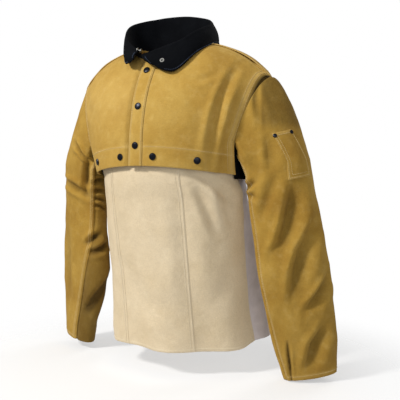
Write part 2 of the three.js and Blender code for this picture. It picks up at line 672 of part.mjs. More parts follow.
// A panel between two edges, each given as an angle over the height.
const bibPanel = (from, to, n) =>
  sheet(
    (a, k) => {
      const angle = lerp(from(k), to(k), a);
      return bibFace(angle, lerp(bibBottomZ(angle), BIB.foldZ - 4, k));
    },
    [0, 1, n],
    [0, 1, 8],
  );
add("bib_top_strip", cut(sheet(bibFace, [-BIB.stripAngle, BIB.stripAngle, 16], [BIB.foldZ, BIB.topZ, 2]),
  drill(hemSites)), "bib");
const centreEdge = (sign, shift) => () => sign * BIB.seamAngle + shift;
add("bib_centre_panel", bibPanel(centreEdge(-1, seam), centreEdge(1, -seam), 6), "bib");
add("bib_left_panel", bibPanel(centreEdge(1, seam), (k) => bibSide(k) - seam, 8), "bib");
add("bib_right_panel", bibPanel((k) => seam - bibSide(k), centreEdge(-1, -seam), 8), "bib");
add("bib_left_wing", bibPanel((k) => bibSide(k) + seam, () => BIB.wingAngle, 3), "wing");
add("bib_right_wing", bibPanel(() => -BIB.wingAngle, (k) => -bibSide(k) - seam, 3), "wing");

// ---- Snap sets --------------------------------------------------------------------------------------------
// Front snaps: the caps sit on the placket strip, and the studs on the right front.
placketSites.forEach((site, i) => {
  const seat = LAYER_GAP + 1.6 + 0.4;
  const stud = -PLACKET.dive;
  add(`front_snap_cap_${i + 1}`, placed(snapCap(seat, SOCKET.top - 0.7), site.point, site.normal),
    "blackSnap");
  add(`front_snap_socket_${i + 1}`, placed(snapSocket(SOCKET.top, SOCKET.mouth), site.point, site.normal),
    "steel");
  add(`front_snap_stud_${i + 1}`, placed(snapStud(SOCKET.mouth - 0.3, stud,
    stud - 2 * LEATHER - LAYER_GAP - 0.9), site.point, site.normal), "steel");
});
// Hem snaps: the caps sit on the fronts, and the studs on the bib's top strip.
hemSites.forEach((site, i) => {
  const back = -2 * LEATHER - LAYER_GAP;
  add(`hem_snap_cap_${i + 1}`, placed(snapCap(0.8, back - 1.4), site.point, site.normal), "blackSnap");
  add(`hem_snap_stud_${i + 1}`, placed(snapStud(-10, -BIB.inset + 0.7, -BIB.inset - LEATHER - 0.7),
    site.point, site.normal), "steel");
});

// The origin is on the middle of the bounding box's underside.
jacket.position.set(ORIGIN.x, ORIGIN.y, ORIGIN.z);
export default jacket;
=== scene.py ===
"""A leather welding jacket: golden split-leather cape with sleeves, black cloth collar and a pale bib.

The soft pieces are sheets over four base surfaces (torso, sleeve, collar, bib), written in millimetres:
x to the wearer's left, y to the back and z up. Folds are raised or sunk along each surface's normal.
The snaps, rivets and hanging loop are the frame's own solids.
"""

import bpy
import numpy as np
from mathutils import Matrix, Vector


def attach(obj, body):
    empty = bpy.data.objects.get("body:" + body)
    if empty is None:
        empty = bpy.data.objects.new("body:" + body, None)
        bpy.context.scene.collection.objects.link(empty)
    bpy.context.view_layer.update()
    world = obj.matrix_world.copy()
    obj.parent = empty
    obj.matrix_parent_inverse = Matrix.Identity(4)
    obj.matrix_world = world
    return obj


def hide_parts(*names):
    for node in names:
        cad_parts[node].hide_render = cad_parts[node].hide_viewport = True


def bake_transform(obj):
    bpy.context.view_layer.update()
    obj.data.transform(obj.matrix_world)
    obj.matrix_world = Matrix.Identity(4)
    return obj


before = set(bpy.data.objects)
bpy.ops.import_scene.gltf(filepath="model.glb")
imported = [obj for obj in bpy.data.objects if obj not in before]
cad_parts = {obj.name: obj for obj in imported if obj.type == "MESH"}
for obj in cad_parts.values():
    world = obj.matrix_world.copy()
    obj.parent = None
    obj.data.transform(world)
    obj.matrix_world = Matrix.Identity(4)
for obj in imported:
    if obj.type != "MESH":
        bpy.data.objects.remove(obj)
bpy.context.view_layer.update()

ORIGIN = np.array([-0.12, 3.05, -0.44])  # from the pattern's own origin to the frame's
deg = np.radians


# ---- Small helpers ----
def lerp(a, b, k):
    return a + (b - a) * k


def smooth(x, a, b):
    k = np.clip((x - a) / (b - a), 0, 1)
    return k * k * (3 - 2 * k)


def bump(x, middle, width):
    return np.exp(-(((x - middle) / width) ** 2))


def vec(x, y, z):
    return np.stack(np.broadcast_arrays(x, y, z), -1).astype(float)


def unit(v):
    return v / np.maximum(np.linalg.norm(v, axis=-1, keepdims=True), 1e-9)


def noise(p, size, seed):
    """Smooth value noise from -1 to 1 over points in millimetres, with lumps of the given size."""
    q = p / size + seed * 11.7
    cell = np.floor(q).astype(np.int64)
    f = q - cell
    f = f * f * (3 - 2 * f)
    total = np.zeros(p.shape[:-1])
    for corner in np.ndindex(2, 2, 2):
        c = cell + np.array(corner)
        h = (c[..., 0] * 73856093) ^ (c[..., 1] * 19349663) ^ (c[..., 2] * 83492791) ^ (seed * 40503)
        h = ((h ^ (h >> 13)) * 1274126177) & 0xFFFFFFFF
        value = ((h ^ (h >> 16)) & 0xFFFF) / 32767.5 - 1
        weight = np.prod(np.where(np.array(corner) == 1, f, 1 - f), axis=-1)
        total += value * weight
    return total


def ripple(p, size, seed, octaves=3):
    return sum(noise(p, size / 2**k, seed + k) / 1.9**k for k in range(octaves))


def find_row(too_low, shape, low, high):
    """The value at which `too_low(value)` stops being true, found by halving the gap."""
    low, high = np.full(shape, float(low)), np.full(shape, float(high))
    for _ in range(26):
        middle = (low + high) / 2
        low, high = np.where(too_low(middle), [middle, high], [low, middle])
    return low


def fold(a, b, path, width, depth, shoulder=0.55, skew=0.0):
    """Valley along a path of (a, b) points with a softer ridge on both sides, fading out at its ends.

    A skew makes it wider on one side than on the other: the right one for a path that runs downwards."""
    path = np.array(path, float)
    parts = np.linalg.norm(np.diff(path, axis=0), axis=1)
    starts = np.concatenate([[0], np.cumsum(parts)]) / parts.sum()
    nearest = np.full(np.shape(a), 1e9)
    along = np.zeros(np.shape(a))
    hand = np.zeros(np.shape(a))
    for i, length in enumerate(parts):
        step = (path[i + 1] - path[i]) / length
        k = np.clip((a - path[i][0]) * step[0] + (b - path[i][1]) * step[1], 0, length)
        d = np.hypot(a - path[i][0] - k * step[0], b - path[i][1] - k * step[1])
        closer = d < nearest
        turn = step[0] * (b - path[i][1]) - step[1] * (a - path[i][0])
        hand = np.where(closer, np.clip(turn / (0.4 * width), -1, 1), hand)
        nearest = np.where(closer, d, nearest)
        along = np.where(closer, starts[i] + k / parts.sum(), along)
    fade = np.sin(np.pi * np.clip(along, 0.02, 0.98)) ** 0.7
    r = nearest / (width * (1 + skew * hand))
    return depth * fade * (shoulder * bump(r, 2.0, 0.95) - bump(r, 0, 1))


def folds(a, b, table):
    """The folds of a table of (path, width, depth) or (path, width, depth, shoulder), as one height."""
    return sum(fold(a, b, *entry) for entry in table)


# ---- Torso ----
HEM_X, TIP_X, NECK_X = 188.0, 261.0, 85.0  # half widths of the hem, the shoulders and the neck
HEM_Z, SHOULDER_Z = 496.0, 785.0
NOTCH_X, NOTCH_Z = 197.0, 548.0  # where the armhole ends, under the arm
NOTCH_AT, NECK_AT = 0.3, 0.4  # their shares of a panel's side and top
CROWN = 240.0  # height over which the body rounds in towards the shoulder ridge
MIDDLE_Y, FRONT_DEPTH, BACK_DEPTH = 10.0, 172, 152
SEAM_ANGLE = 1.397
SHOULDER_DROP = 87
LEATHER_WIDTH = 190  # of half a panel at the chest, to turn shares into millimetres


def ridge_z(x):
    w = np.abs(x)
    t = np.clip((w - NECK_X) / (TIP_X - NECK_X), 0, 2)
    return np.where(w < NECK_X, SHOULDER_Z + (NECK_X - w) * 0.18, SHOULDER_Z - SHOULDER_DROP * t**2.1)


def crown_angle(x, z):
    """The angle round the crown of a point at this height, or less than 0 below the crown."""
    q = (z - ridge_z(x)) / CROWN + 1
    return np.where(q < 0, q, np.arcsin(np.clip(q, -1, 1)))


def half_width(z):
    return 200 + (z - HEM_Z) * 0.32


def torso(x, angle, side):
    """A point of the body; side is -1 in front and 1 behind."""
    z = ridge_z(x) - CROWN + CROWN * np.where(angle < 0, angle, np.sin(angle))
    rounded = np.sqrt(np.clip(1 - (x / half_width(z)) ** 2, 0, 1))
    lean = np.where(angle < 0, 1, np.cos(angle))
    depth = np.where(side * lean < 0, FRONT_DEPTH, BACK_DEPTH)
    return vec(x, MIDDLE_Y + side * depth * rounded * lean, z)


def hem_z(x):
    return HEM_Z - 20 * (x / HEM_X) ** 2


def armhole_edge(t):
    top = ridge_z(TIP_X)
    return TIP_X - (TIP_X - NOTCH_X) * t**0.6, top - (top - NOTCH_Z) * t


def torso_patch(s, t, side):
    """Half of the front or back: s from the centre to the side, t from the hem to the top."""
    seam = SEAM_ANGLE if side < 0 else np.pi - SEAM_ANGLE
    neck = crown_angle(0, 733) if side < 0 else 1.277

    def bottom(k):
        return HEM_X * k, crown_angle(HEM_X * k, hem_z(HEM_X * k))

    def top(k):
        n = k / NECK_AT
        x = np.where(k > NECK_AT, lerp(NECK_X, TIP_X, (k - NECK_AT) / (1 - NECK_AT)), NECK_X * n)
        return x, np.where(k > NECK_AT, seam, lerp(neck, seam, np.abs(n) ** (1.7 if side < 0 else 7)))

    def outer(k):
        n = np.clip(k / NOTCH_AT, 0, 1)
        x1 = lerp(HEM_X, NOTCH_X, n)
        a1 = crown_angle(x1, lerp(hem_z(HEM_X), NOTCH_Z, n))
        m = np.clip((k - NOTCH_AT) / (1 - NOTCH_AT), 0, 1.2)
        x2, z2 = armhole_edge(np.clip(1 - m, 0, 1))
        a2 = lerp(crown_angle(x2, z2), seam, np.clip(m, 0, 1) ** 6)
        return np.where(k < NOTCH_AT, x1, x2), np.where(k < NOTCH_AT, a1, a2)

    def inner(k):
        return 0, lerp(crown_angle(0, hem_z(0)), neck, k)

    low, high, left, right = bottom(s), top(s), inner(t), outer(t)
    (low0, low1), (high0, high1) = ((edge(np.array(0.0)), edge(np.array(1.0))) for edge in (bottom, top))
    x, angle = (
        lerp(low[i], high[i], t) + lerp(left[i], right[i], s)
        - lerp(lerp(low0[i], low1[i], s), lerp(high0[i], high1[i], s), t)
        for i in (0, 1)
    )
    return torso(x, angle, side)


def share(x):
    return x / HEM_X


SNAPS = [(0, 711), (0, 628), (0, 541)] + [(x, float(hem_z(x)) + 21) for x in (-134, -43, 43, 134)]
SNAP_CALM = 22


def calm(p):
    """1 away from the snaps and 0 at them, so that folds never lift the leather off a snap."""
    keep = np.ones(p.shape[:-1])
    for x, z in SNAPS:
        keep = keep * (1 - bump(np.hypot(p[..., 0] - x, p[..., 2] - z), 0, SNAP_CALM))
    return keep


# ---- Sleeve ----
TURN = deg(27.6)  # the sleeves hang turned by this about z
HEAD_END, CUFF = 500.0, 10.0  # heights of the head's end and of the cuff
SLEEVE_LENGTH = HEAD_END - CUFF
NOTCH_PHI = 2.44
ARC = 62  # mean radius of the sleeve, to turn angles into millimetres
E1 = unit(np.array([np.cos(TURN), np.sin(TURN), 0.158]))
E2 = unit(np.array([-np.sin(TURN), np.cos(TURN), 0.022]))


def sleeve_ring(phi, z):
    """The sleeve's flattened section at a height."""
    y = 64 * (698 - z) / 690
    x = 336 - 72 * z / 530
    broad = 72 + 10 * bump(z, 270, 170) - 13 * np.clip(1 - z / 130, 0, 1) ** 2
    thin = lerp(27, 54, np.clip(z / HEAD_END, 0, 1) ** 0.8)
    across = (broad * np.cos(phi))[..., None] * E1 + (thin * np.sin(phi))[..., None] * E2
    return vec(x, y, z) + across


def armhole_loop(phi, inset=0.0):
    """The sleeve's upper edge; `inset` moves it in under the body's edge."""
    side = np.where(phi < 0, -1.0, 1.0)
    t = np.abs(phi) / NOTCH_PHI
    x, z = armhole_edge(np.minimum(1, t))
    angle = crown_angle(x, z)
    x = x - inset
    p = np.where((side < 0)[..., None], torso(x, angle, -1), torso(x, angle, 1))
    k = np.clip((np.abs(phi) - NOTCH_PHI) / (np.pi - NOTCH_PHI), 0, 1)
    under = np.array([NOTCH_X + 4, MIDDLE_Y, NOTCH_Z - 4])
    return lerp(p, under, np.sin(k * np.pi / 2)[..., None])


def sleeve(phi, v):
    """phi runs round the sleeve from its top; v is 0 to 1 for the head, then 1 to 2 for the tube."""
    edge = armhole_loop(phi, 5 * np.clip(-v / 0.05, 0, 1))
    k = np.clip(v, 0, 1)
    z = lerp(edge[..., 2], HEAD_END, k)
    g = smooth(k, 0, 1) * 0.5 + k * 0.5
    head = lerp(edge, sleeve_ring(phi, z), g[..., None])
    tube = sleeve_ring(phi, lerp(HEAD_END, CUFF, np.clip(v - 1, 0, 1)))
    return np.where((v < 1)[..., None], head, tube)


def tube_v(z):
    """The v of a height below the sleeve's head."""
    return 1 + (HEAD_END - z) / SLEEVE_LENGTH


def seam_front(side):
    """The front seam of the sleeve winds forwards on its way to the cuff."""
    start, turn, at = (-162, 50, 1.25) if side == "right" else (-160, 8, 1.5)
    return lambda v: deg(start + turn * smooth(v, at, 2.02))


def seam_back(v):
    return deg(118 + 0 * v)


# ---- Collar ----
# Each line of the collar goes through one point per station, as [x outwards, y, z].
STATIONS = np.array([0, 45, 90, 122, 145, 168], float)  # degrees from the centre back
LEFT = {
    "neck": [[0, 60, 794], [64, 47, 795], [90, 6, 790], [72, -54, 768], [44, -86, 752], [-12, -110, 739]],
    "rim": [[0, 74, 876], [71, 54, 856], [102, 0, 830], [85, -54, 804], [50, -92, 774], [-18, -118, 748]],
    "edge": [[0, 100, 803], [84, 72, 794], [115, -3, 785], [102, -78, 752], [69, -122, 706], [21, -129, 720]],
}
RIGHT = {
    "neck": [[0, 60, 794], [64, 47, 795], [90, 6, 790], [72, -54, 768], [48, -84, 754], [22, -106, 744]],
    "rim": [[0, 74, 876], [70, 56, 874], [111, 0, 850], [97, -54, 812], [70, -88, 784], [26, -116, 758]],
    "edge": [[0, 100, 803], [84, 72, 797], [111, -4, 787], [86, -74, 758], [54, -121, 732], [24, -137, 734]],
}


def collar_curve(name, angle):
    """A smooth curve through the stations' points; negative angles are on the wearer's right."""
    left, right = (np.array(side[name], float) for side in (LEFT, RIGHT))
    a = np.clip(np.abs(angle), 0, STATIONS[-1])
    i = np.clip(np.searchsorted(STATIONS, a, side="right") - 1, 0, len(STATIONS) - 2)
    k = (a - STATIONS[i]) / (STATIONS[i + 1] - STATIONS[i])
    is_right = (angle < 0)[..., None]

    def station(index, swap=False):
        index = np.clip(index, 0, len(left) - 1)
        return np.where(is_right != swap, right[index], left[index])

    before = np.where((i > 0)[..., None], station(i - 1), station(np.ones_like(i), True) * [-1, 1, 1])
    b, c, after, k = station(i), station(i + 1), station(i + 2), k[..., None]
    p = 0.5 * (2 * b + (c - before) * k + (2 * before - 5 * b + 4 * c - after) * k**2
               + (3 * b - before - 3 * c + after) * k**3)
    p[..., 0] = np.where(angle < 0, -p[..., 0], p[..., 0])
    return p


def collar(angle, k):
    """k is 0 at the neckline, 1 on the roll line and 2 at the fall's free edge."""
    neck, rim, edge = (collar_curve(n, angle) for n in ("neck", "rim", "edge"))
    out = unit(rim * np.array([1, 1, 0]) + np.array([0, 20, 0]))
    stand = lerp(neck, rim, np.minimum(k, 1)[..., None])
    f = np.clip(k - 1, 0, 1)[..., None]
    fall = lerp(rim, edge, f) + out * (5 + 6 * np.sin(f * np.pi))
    # The roll at the top is a small round, not a sharp edge.
    roll = smooth(k, 0.93, 1.07)[..., None]
    top = bump(k, 1, 0.07)[..., None]
    return lerp(stand, fall, roll) + top * np.array([0, 0, 2.5])


# ---- Bib ----
BIB_TOP, BIB_FOOT = 545.0, 60.0
WING_FROM, WING_TO = deg(98), deg(124)
BIB_ARC = 180  # mean radius of the bib, to turn angles into millimetres


def bib_free(angle, z):
    """The bib where it hangs free: it flares towards its foot, the wings more than the middle."""
    k = np.clip((BIB_TOP - z) / (BIB_TOP - BIB_FOOT), 0, 1)
    a = np.abs(angle)
    half = lerp(184, 185, k) + (9 * smooth(a, 1.05, 1.83) + 60 * smooth(a, WING_FROM, WING_TO + 0.1)) * k
    return vec(half * np.sin(angle), 60 * k**1.1 - lerp(152, 135, k) * np.cos(angle), z)


def bib_ring(angle, z):
    """The bib where it lies against the inside of the cape."""
    gap = 15
    return vec((half_width(z) - gap) * np.sin(angle), MIDDLE_Y - (FRONT_DEPTH - gap) * np.cos(angle), z)


def bib_bottom(angle):
    return BIB_FOOT + 18 * np.clip(np.abs(angle) / WING_TO, 0, 1) ** 4


def bib(angle, k):
    """k is 0 at the bottom edge and 1 at the hidden top."""
    z = lerp(bib_bottom(angle), BIB_TOP, k)
    w = smooth(BIB_TOP - z, 51, 130)[..., None]
    top = bib_ring(angle, np.maximum(z, 470))
    top[..., 2] = z
    return lerp(top, bib_free(angle, z), w)


def askew(p):
    """The front hangs a little askew: above the hem its middle drifts towards the wearer's left."""
    x, y, z = p[..., 0], p[..., 1], p[..., 2]
    drift = 0.041 * np.maximum(0, z - 490) * np.maximum(0, 1 - (x / 200) ** 2) * smooth(-y, 0, 90)
    return vec(x + drift, y, z)


# ---- Sheets ----
class Skin:
    """A base surface with its folds. `mirror` puts it on the wearer's right; `out` sets the outward side.

    `step` is the small distance in u and v over which the normal is measured."""

    def __init__(self, base, step, relief=None, mirror=False, out=1):
        self.base, self.step, self.relief, self.out = base, step, relief, out
        self.flip = np.array([-1.0 if mirror else 1.0, 1, 1])

    def point(self, u, v, lift=0.0):
        """Points on the folded surface and the outward normals of the base under them."""
        u, v = np.broadcast_arrays(np.asarray(u, float), np.asarray(v, float))
        du, dv = self.step
        p = self.base(u, v)
        along_u = self.base(u + du, v) - self.base(u - du, v)
        along_v = self.base(u, v + dv) - self.base(u, v - dv)
        n = unit(np.cross(along_u, along_v)) * self.out
        p, n = p * self.flip, n * self.flip
        height = np.zeros(u.shape) + lift
        if self.relief is not None:
            height = height + self.relief(u, v, p)
        return askew(p + n * height[..., None]), n


def make_mesh(name, verts, faces, material, attributes=None):
    """A smooth-shaded piece from points in millimetres; "rest" keeps their places for the materials."""
    mesh = bpy.data.meshes.new(name)
    world = (np.asarray(verts) + ORIGIN) / 1000
    mesh.from_pydata(world.tolist(), [], faces)
    mesh.polygons.foreach_set("use_smooth", np.ones(len(mesh.polygons), bool))
    rest = mesh.attributes.new("rest", "FLOAT_VECTOR", "POINT")
    rest.data.foreach_set("vector", world.astype(np.float32).ravel())
    for key, values in (attributes or {}).items():
        attribute = mesh.attributes.new(key, "FLOAT", "POINT")
        attribute.data.foreach_set("value", np.asarray(values, np.float32).ravel())
    mesh.materials.append(material)
    mesh.update()
    piece = bpy.data.objects.new(name, mesh)
    bpy.context.scene.collection.objects.link(piece)
    return piece


def sheet(name, skin, us, vs, material, thickness, lift=0.0, wear=None, soil=None, curve=None, cut_row=None):
    """A sheet of leather or cloth with a rounded rim, over a grid of u and v that `curve(U, V)` may bend.

    The row `cut_row` (0 or -1) has no rim, because another piece goes on from there.
    `wear` gives, from 0 to 1, how pale the material is from wear at each point, and the shade amount how much
    painted shade darkens it there."""
    U, V = np.meshgrid(np.asarray(us, float), np.asarray(vs, float))
    if curve is not None:
        U, V = curve(U, V)
    outer, skin_n = skin.point(U, V, lift(U, V) if callable(lift) else lift)
    n = unit(np.cross(np.gradient(outer, axis=1), np.gradient(outer, axis=0)))
    facing = 1 if np.sum(n * skin_n) > 0 else -1
    n = n * facing
    inner = outer - n * thickness
    count = U.size
    index = np.arange(count).reshape(U.shape)
    quads = np.stack([index[:-1, :-1], index[:-1, 1:], index[1:, 1:], index[1:, :-1]], -1).reshape(-1, 4)

    # The rim: one row of points halfway between both faces, a little proud of the edge.
    loop = np.concatenate([index[0, :-1], index[:-1, -1], index[-1, :0:-1], index[:0:-1, 0]])
    p, q = outer.reshape(-1, 3)[loop], inner.reshape(-1, 3)[loop]
    along = unit(np.roll(p, -1, 0) - np.roll(p, 1, 0))
    outwards = unit(np.cross(along, n.reshape(-1, 3)[loop]) * facing)
    rim = (p + q) / 2 + outwards * thickness * 0.35
    middle = 2 * count + np.arange(len(loop))
    next_loop, next_middle = np.roll(loop, -1), np.roll(middle, -1)
    cut = np.isin(loop, [] if cut_row is None else index[cut_row])
    keep = ~(cut & np.roll(cut, -1))
    upper = np.stack([next_loop, loop, middle, next_middle], -1)[keep]
    lower = np.stack([next_middle, middle, loop + count, next_loop + count], -1)[keep]
    faces = np.concatenate([quads, quads[:, ::-1] + count, upper, lower])[:, ::facing]

    def spread(amount):
        """An amount per grid point, or none, as values for the outer points, the inner points and the rim."""
        values = np.zeros(count) if amount is None else np.broadcast_to(amount(U, V, outer), U.shape).ravel()
        return np.concatenate([values, values, values[loop]])

    edge = np.zeros(2 * count + len(loop))
    edge[loop[~cut]] = 0.6
    edge[2 * count:] = 1
    verts = np.concatenate([outer.reshape(-1, 3), inner.reshape(-1, 3), rim])
    # The second attribute is painted shade: it darkens the colour in creases, along seams and where the
    # surface turns from the light.
    shades = {"wear": spread(wear), "soil": spread(soil), "edge": edge}
    return make_mesh(name, verts, faces.tolist(), material, shades)


STITCH, PITCH, THREAD = 3.1, 4.1, 0.55  # a stitch's length, the distance to the next one and its radius
THREAD_SIDES = 6
# The rings of a stitch: place along it, share of the thread's radius, height over the leather.
STITCH_RINGS = ((-0.5, 0.45, -0.5), (-0.28, 1, 0.2), (0.28, 1, 0.2), (0.5, 0.45, -0.5))


def along_line(at, places, points):
    """The points that lie at these places along a line."""
    return np.stack([np.interp(at, places, column) for column in np.transpose(points)], -1)


def stitch_points(skin, lift, path):
    """Stitch centres, directions and normals along a path of (u, v) over a skin."""
    u, v = along_line(np.linspace(0, 1, 900), np.linspace(0, 1, len(path)), path).T
    p, n = skin.point(u, v, lift)
    far = np.append(0, np.cumsum(np.linalg.norm(np.diff(p, axis=0), axis=1)))
    at = np.arange(2.5, far[-1] - 2, PITCH)
    centre, ahead = along_line(at, far, p), along_line(at + 1, far, p)
    return centre, unit(ahead - centre), unit(along_line(at, far, n))


def stitches(name, runs, material):
    """Stitches as one mesh: short round threads that dip into the leather at both ends."""
    turn = np.arange(THREAD_SIDES)[:, None] * 2 * np.pi / THREAD_SIDES
    blocks = []
    for run in runs:
        centre, along, normal = stitch_points(*run)
        across = np.cross(along, normal)
        circle = across[:, None] * np.cos(turn) + normal[:, None] * np.sin(turn)
        rings = []
        for place, share_of_radius, height in STITCH_RINGS:
            middle = centre + along * place * STITCH + normal * height
            rings.append(middle[:, None] + circle * THREAD * share_of_radius)
        blocks.append(np.stack(rings, 1))
    block = np.concatenate(blocks)  # stitch, ring, side, xyz
    index = np.arange(block[..., 0].size).reshape(block.shape[:3])
    turned = np.roll(index, -1, 2)
    faces = np.stack([index[:, :-1], turned[:, :-1], turned[:, 1:], index[:, 1:]], -1)
    return make_mesh(name, block.reshape(-1, 3), faces.reshape(-1, 4).tolist(), material)


# ---- Materials ----
def linear(rgb):
    """A linear colour from one written as 0 to 255."""
    return tuple(((c / 255 + 0.055) / 1.055) ** 2.4 if c > 10 else c / 255 / 12.92 for c in rgb) + (1.0,)


def grey(value):
    return (value, value, value, 1)


def node_material(name):
    material = bpy.data.materials.new(name)
    material.use_nodes = True
    tree = material.node_tree
    return material, tree, tree.nodes["Principled BSDF"]


def connect(tree, node, inputs):
    """Links each named input of a node to an output, or sets it to a plain value."""
    for name, value in inputs.items():
        if isinstance(value, bpy.types.NodeSocket):
            tree.links.new(value, node.inputs[name])
        else:
            node.inputs[name].default_value = value


def add_node(tree, kind, inputs, **properties):
    node = tree.nodes.new("ShaderNode" + kind)
    for name, value in properties.items():
        setattr(node, name, value)
    connect(tree, node, inputs)
    return node


def attribute(tree, name, output="Fac"):
    return add_node(tree, "Attribute", {}, attribute_name=name).outputs[output]


def noise_node(tree, where, scale, detail):
    inputs = {"Vector": where, "Scale": scale, "Detail": detail, "Roughness": 0.55}
    return add_node(tree, "TexNoise", inputs).outputs["Fac"]


def ramp(tree, value, stops):
    node = add_node(tree, "ValToRGB", {"Fac": value})
    while len(node.color_ramp.elements) < len(stops):
        node.color_ramp.elements.new(0.5)
    for element, (place, colour) in zip(node.color_ramp.elements, stops):
        element.position, element.color = place, colour
    return node.outputs["Color"]


def mix(tree, factor, a, b, mode="MIX"):
    inputs = {"Factor": factor, "A": a, "B": b}
    return add_node(tree, "Mix", inputs, data_type="RGBA", blend_type=mode).outputs["Result"]


def scaled(tree, value, factor):
    return add_node(tree, "Math", {0: value, 1: factor}, operation="MULTIPLY").outputs[0]


def add_bump(tree, shader, layers):
    """Bump layers, each (height, distance in metres), one on top of the other."""
    under = {}
    for height, distance in layers:
        node = add_node(tree, "Bump", {"Strength": 1.0, "Distance": distance, "Height": height, **under})
        under = {"Normal": node.outputs["Normal"]}
    connect(tree, shader, under)


# The dark brown that painted shade multiplies the leather's colour towards.
PAINTED_SHADE_TINT = (0.2, 0.19, 0.18, 1)


def suede(name, *colours):
    """Split leather in its dark, middle, light and pale colours: cloudy, fibrous, pale where worn, and
    darkened by painted shade where the mesh's shade attribute says.
    """
    dark, mid, light, pale = (linear(colour) for colour in colours)
    material, tree, shader = node_material(name)
    where = attribute(tree, "rest", "Vector")
    cloudy = ramp(tree, noise_node(tree, where, 11, 4), [(0.3, dark), (0.5, mid), (0.72, light)])
    blotch = ramp(tree, noise_node(tree, where, 55, 5), [(0.32, dark), (0.52, mid), (0.74, pale)])
    colour = mix(tree, 0.2, cloudy, blotch)
    fibres = ramp(tree, noise_node(tree, where, 900, 2), [(0.3, grey(0.72)), (0.7, grey(1.18))])
    colour = mix(tree, 0.7, colour, fibres, "MULTIPLY")
    colour = mix(tree, scaled(tree, attribute(tree, "wear"), 0.32), colour, pale)
    colour = mix(tree, scaled(tree, attribute(tree, "edge"), 0.3), colour, pale)
    # Painted shade: the colour is multiplied towards a dark brown where the shade attribute is high.
    colour = mix(tree, attribute(tree, "soil"), colour, PAINTED_SHADE_TINT, "MULTIPLY")
    connect(tree, shader, {"Base Color": colour, "Roughness": 0.92, "Specular IOR Level": 0.18,
                           "Sheen Weight": 0.12, "Sheen Roughness": 0.6, "Sheen Tint": pale})
    lumps, nap = noise_node(tree, where, 60, 4), noise_node(tree, where, 800, 3)
    add_bump(tree, shader, [(lumps, 0.0016), (nap, 0.0006)])
    return material


def cloth(name, dark, light, weave=700, rough=0.85, shine=0.2):
    """Woven cloth or thread with two crossing sets of fine ridges."""
    material, tree, shader = node_material(name)
    where = attribute(tree, "rest", "Vector")
    colour = ramp(tree, noise_node(tree, where, 30, 4), [(0.35, linear(dark)), (0.68, linear(light))])
    connect(tree, shader, {"Base Color": colour, "Roughness": rough, "Specular IOR Level": shine,
                           "Sheen Weight": 0.0})
    ridges = {"Vector": where, "Scale": weave / 3, "Distortion": 0.6}
    waves = [add_node(tree, "TexWave", ridges, bands_direction=axis).outputs["Fac"] for axis in ("X", "Z")]
    add_bump(tree, shader, [(noise_node(tree, where, 90, 3), 0.0008)] + [(wave, 0.00012) for wave in waves])
    return material


def metal(name, rgb, roughness, metallic):
    """Metal or enamel with a faint grain."""
    material, tree, shader = node_material(name)
    colour = linear(rgb)
    duller = tuple(c * 0.8 for c in colour[:3]) + (1,)
    grain = noise_node(tree, add_node(tree, "TexCoord", {}).outputs["Object"], 400, 3)
    face = ramp(tree, grain, [(0.3, duller), (0.7, colour)])
    connect(tree, shader, {"Base Color": face, "Metallic": metallic, "Roughness": roughness})
    add_bump(tree, shader, [(grain, 0.00005)])
    return material


LEATHER = suede("golden_suede", (163, 126, 53), (177, 141, 65), (189, 156, 81), (212, 184, 118))
SLEEVE_LEATHER = suede("sleeve_suede", (147, 111, 42), (164, 129, 54), (179, 145, 68), (204, 174, 108))
BIB_LEATHER = suede("pale_suede", (208, 189, 155), (216, 198, 166), (222, 205, 174), (232, 217, 188))
WING = cloth("grey_cloth", (206, 198, 199), (222, 214, 215), 500, 0.95)
BLACK = cloth("black_cloth", (3, 4, 7), (8, 10, 14), shine=0.06)
TAN_THREAD = cloth("tan_thread", (192, 164, 106), (216, 192, 140), 1500, 0.8)
PALE_THREAD = cloth("pale_thread", (222, 208, 178), (240, 230, 208), 1500, 0.8)
BLUE_THREAD = cloth("blue_thread", (50, 60, 80), (80, 92, 115), 1500, 0.8)
ENAMEL = metal("black_enamel", (26, 28, 36), 0.28, 0.75)
STEEL = metal("snap_steel", (150, 150, 146), 0.42, 1.0)


def bend_sleeve(piece, side, level):
    """Bakes the piece's placement into its mesh, the same way for the upper part and the lower one."""
    if level == "upper":
        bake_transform(piece)
    else:
        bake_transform(piece)


def bend_front(piece):
    """Bakes the piece's placement into its mesh."""
    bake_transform(piece)


# ---- Cape ----
LEFT_FRONT_FOLDS = (
    ([(200, 722), (196, 705), (182, 652), (171, 598), (162, 546), (153, 480)], 8, 7.5, 0.6),
    ([(226, 665), (205, 619), (196, 571), (188, 500)], 8, 7.0, 0.5),
    ([(88, 692), (134, 683), (168, 700)], 7, 2.2),
    ([(110, 640), (135, 615), (150, 580)], 12, 1.8),
)
RIGHT_FRONT_FOLDS = (
    ([(215, 690), (190, 640), (150, 620)], 14, 2.2),
    ([(70, 730), (80, 650), (70, 560)], 22, 1.6),
    ([(168, 668), (145, 690), (118, 706)], 7, 1.8),
)
BACK_FOLDS = (
    ([(190, 700), (160, 620), (120, 540), (105, 480)], 18, 4.5),
    ([(228, 690), (205, 610), (185, 500)], 12, 4.0),
)
HEM_FLAT, HEM_LOOSE = 480, 560  # the ripples begin at the first height and are in full at the second


def front_finish(h, u, p):
    """Flat at the snaps and near the sleeve, where the seam makes a small ridge."""
    return h * calm(p) * (1 - 0.9 * smooth(u, 0.9, 0.99)) + 1.8 * smooth(u, 0.972, 1.0)


def left_front_relief(u, v, p):
    x, z = p[..., 0], p[..., 2]
    h = (ripple(p, 120, 3) * 2.0 + ripple(p, 45, 8, 2) * 0.5) * smooth(z, HEM_FLAT, HEM_LOOSE)
    h = h + folds(x, z, LEFT_FRONT_FOLDS) - 9 * smooth(x, 160, 184) * (1 - smooth(z, 535, 600))
    return front_finish(h, u, p)


def right_front_relief(u, v, p):
    h = (ripple(p, 110, 5) * 1.8 + ripple(p, 42, 9, 2) * 0.5) * smooth(p[..., 2], HEM_FLAT, HEM_LOOSE)
    return front_finish(h + folds(-p[..., 0], p[..., 2], RIGHT_FRONT_FOLDS), u, p)


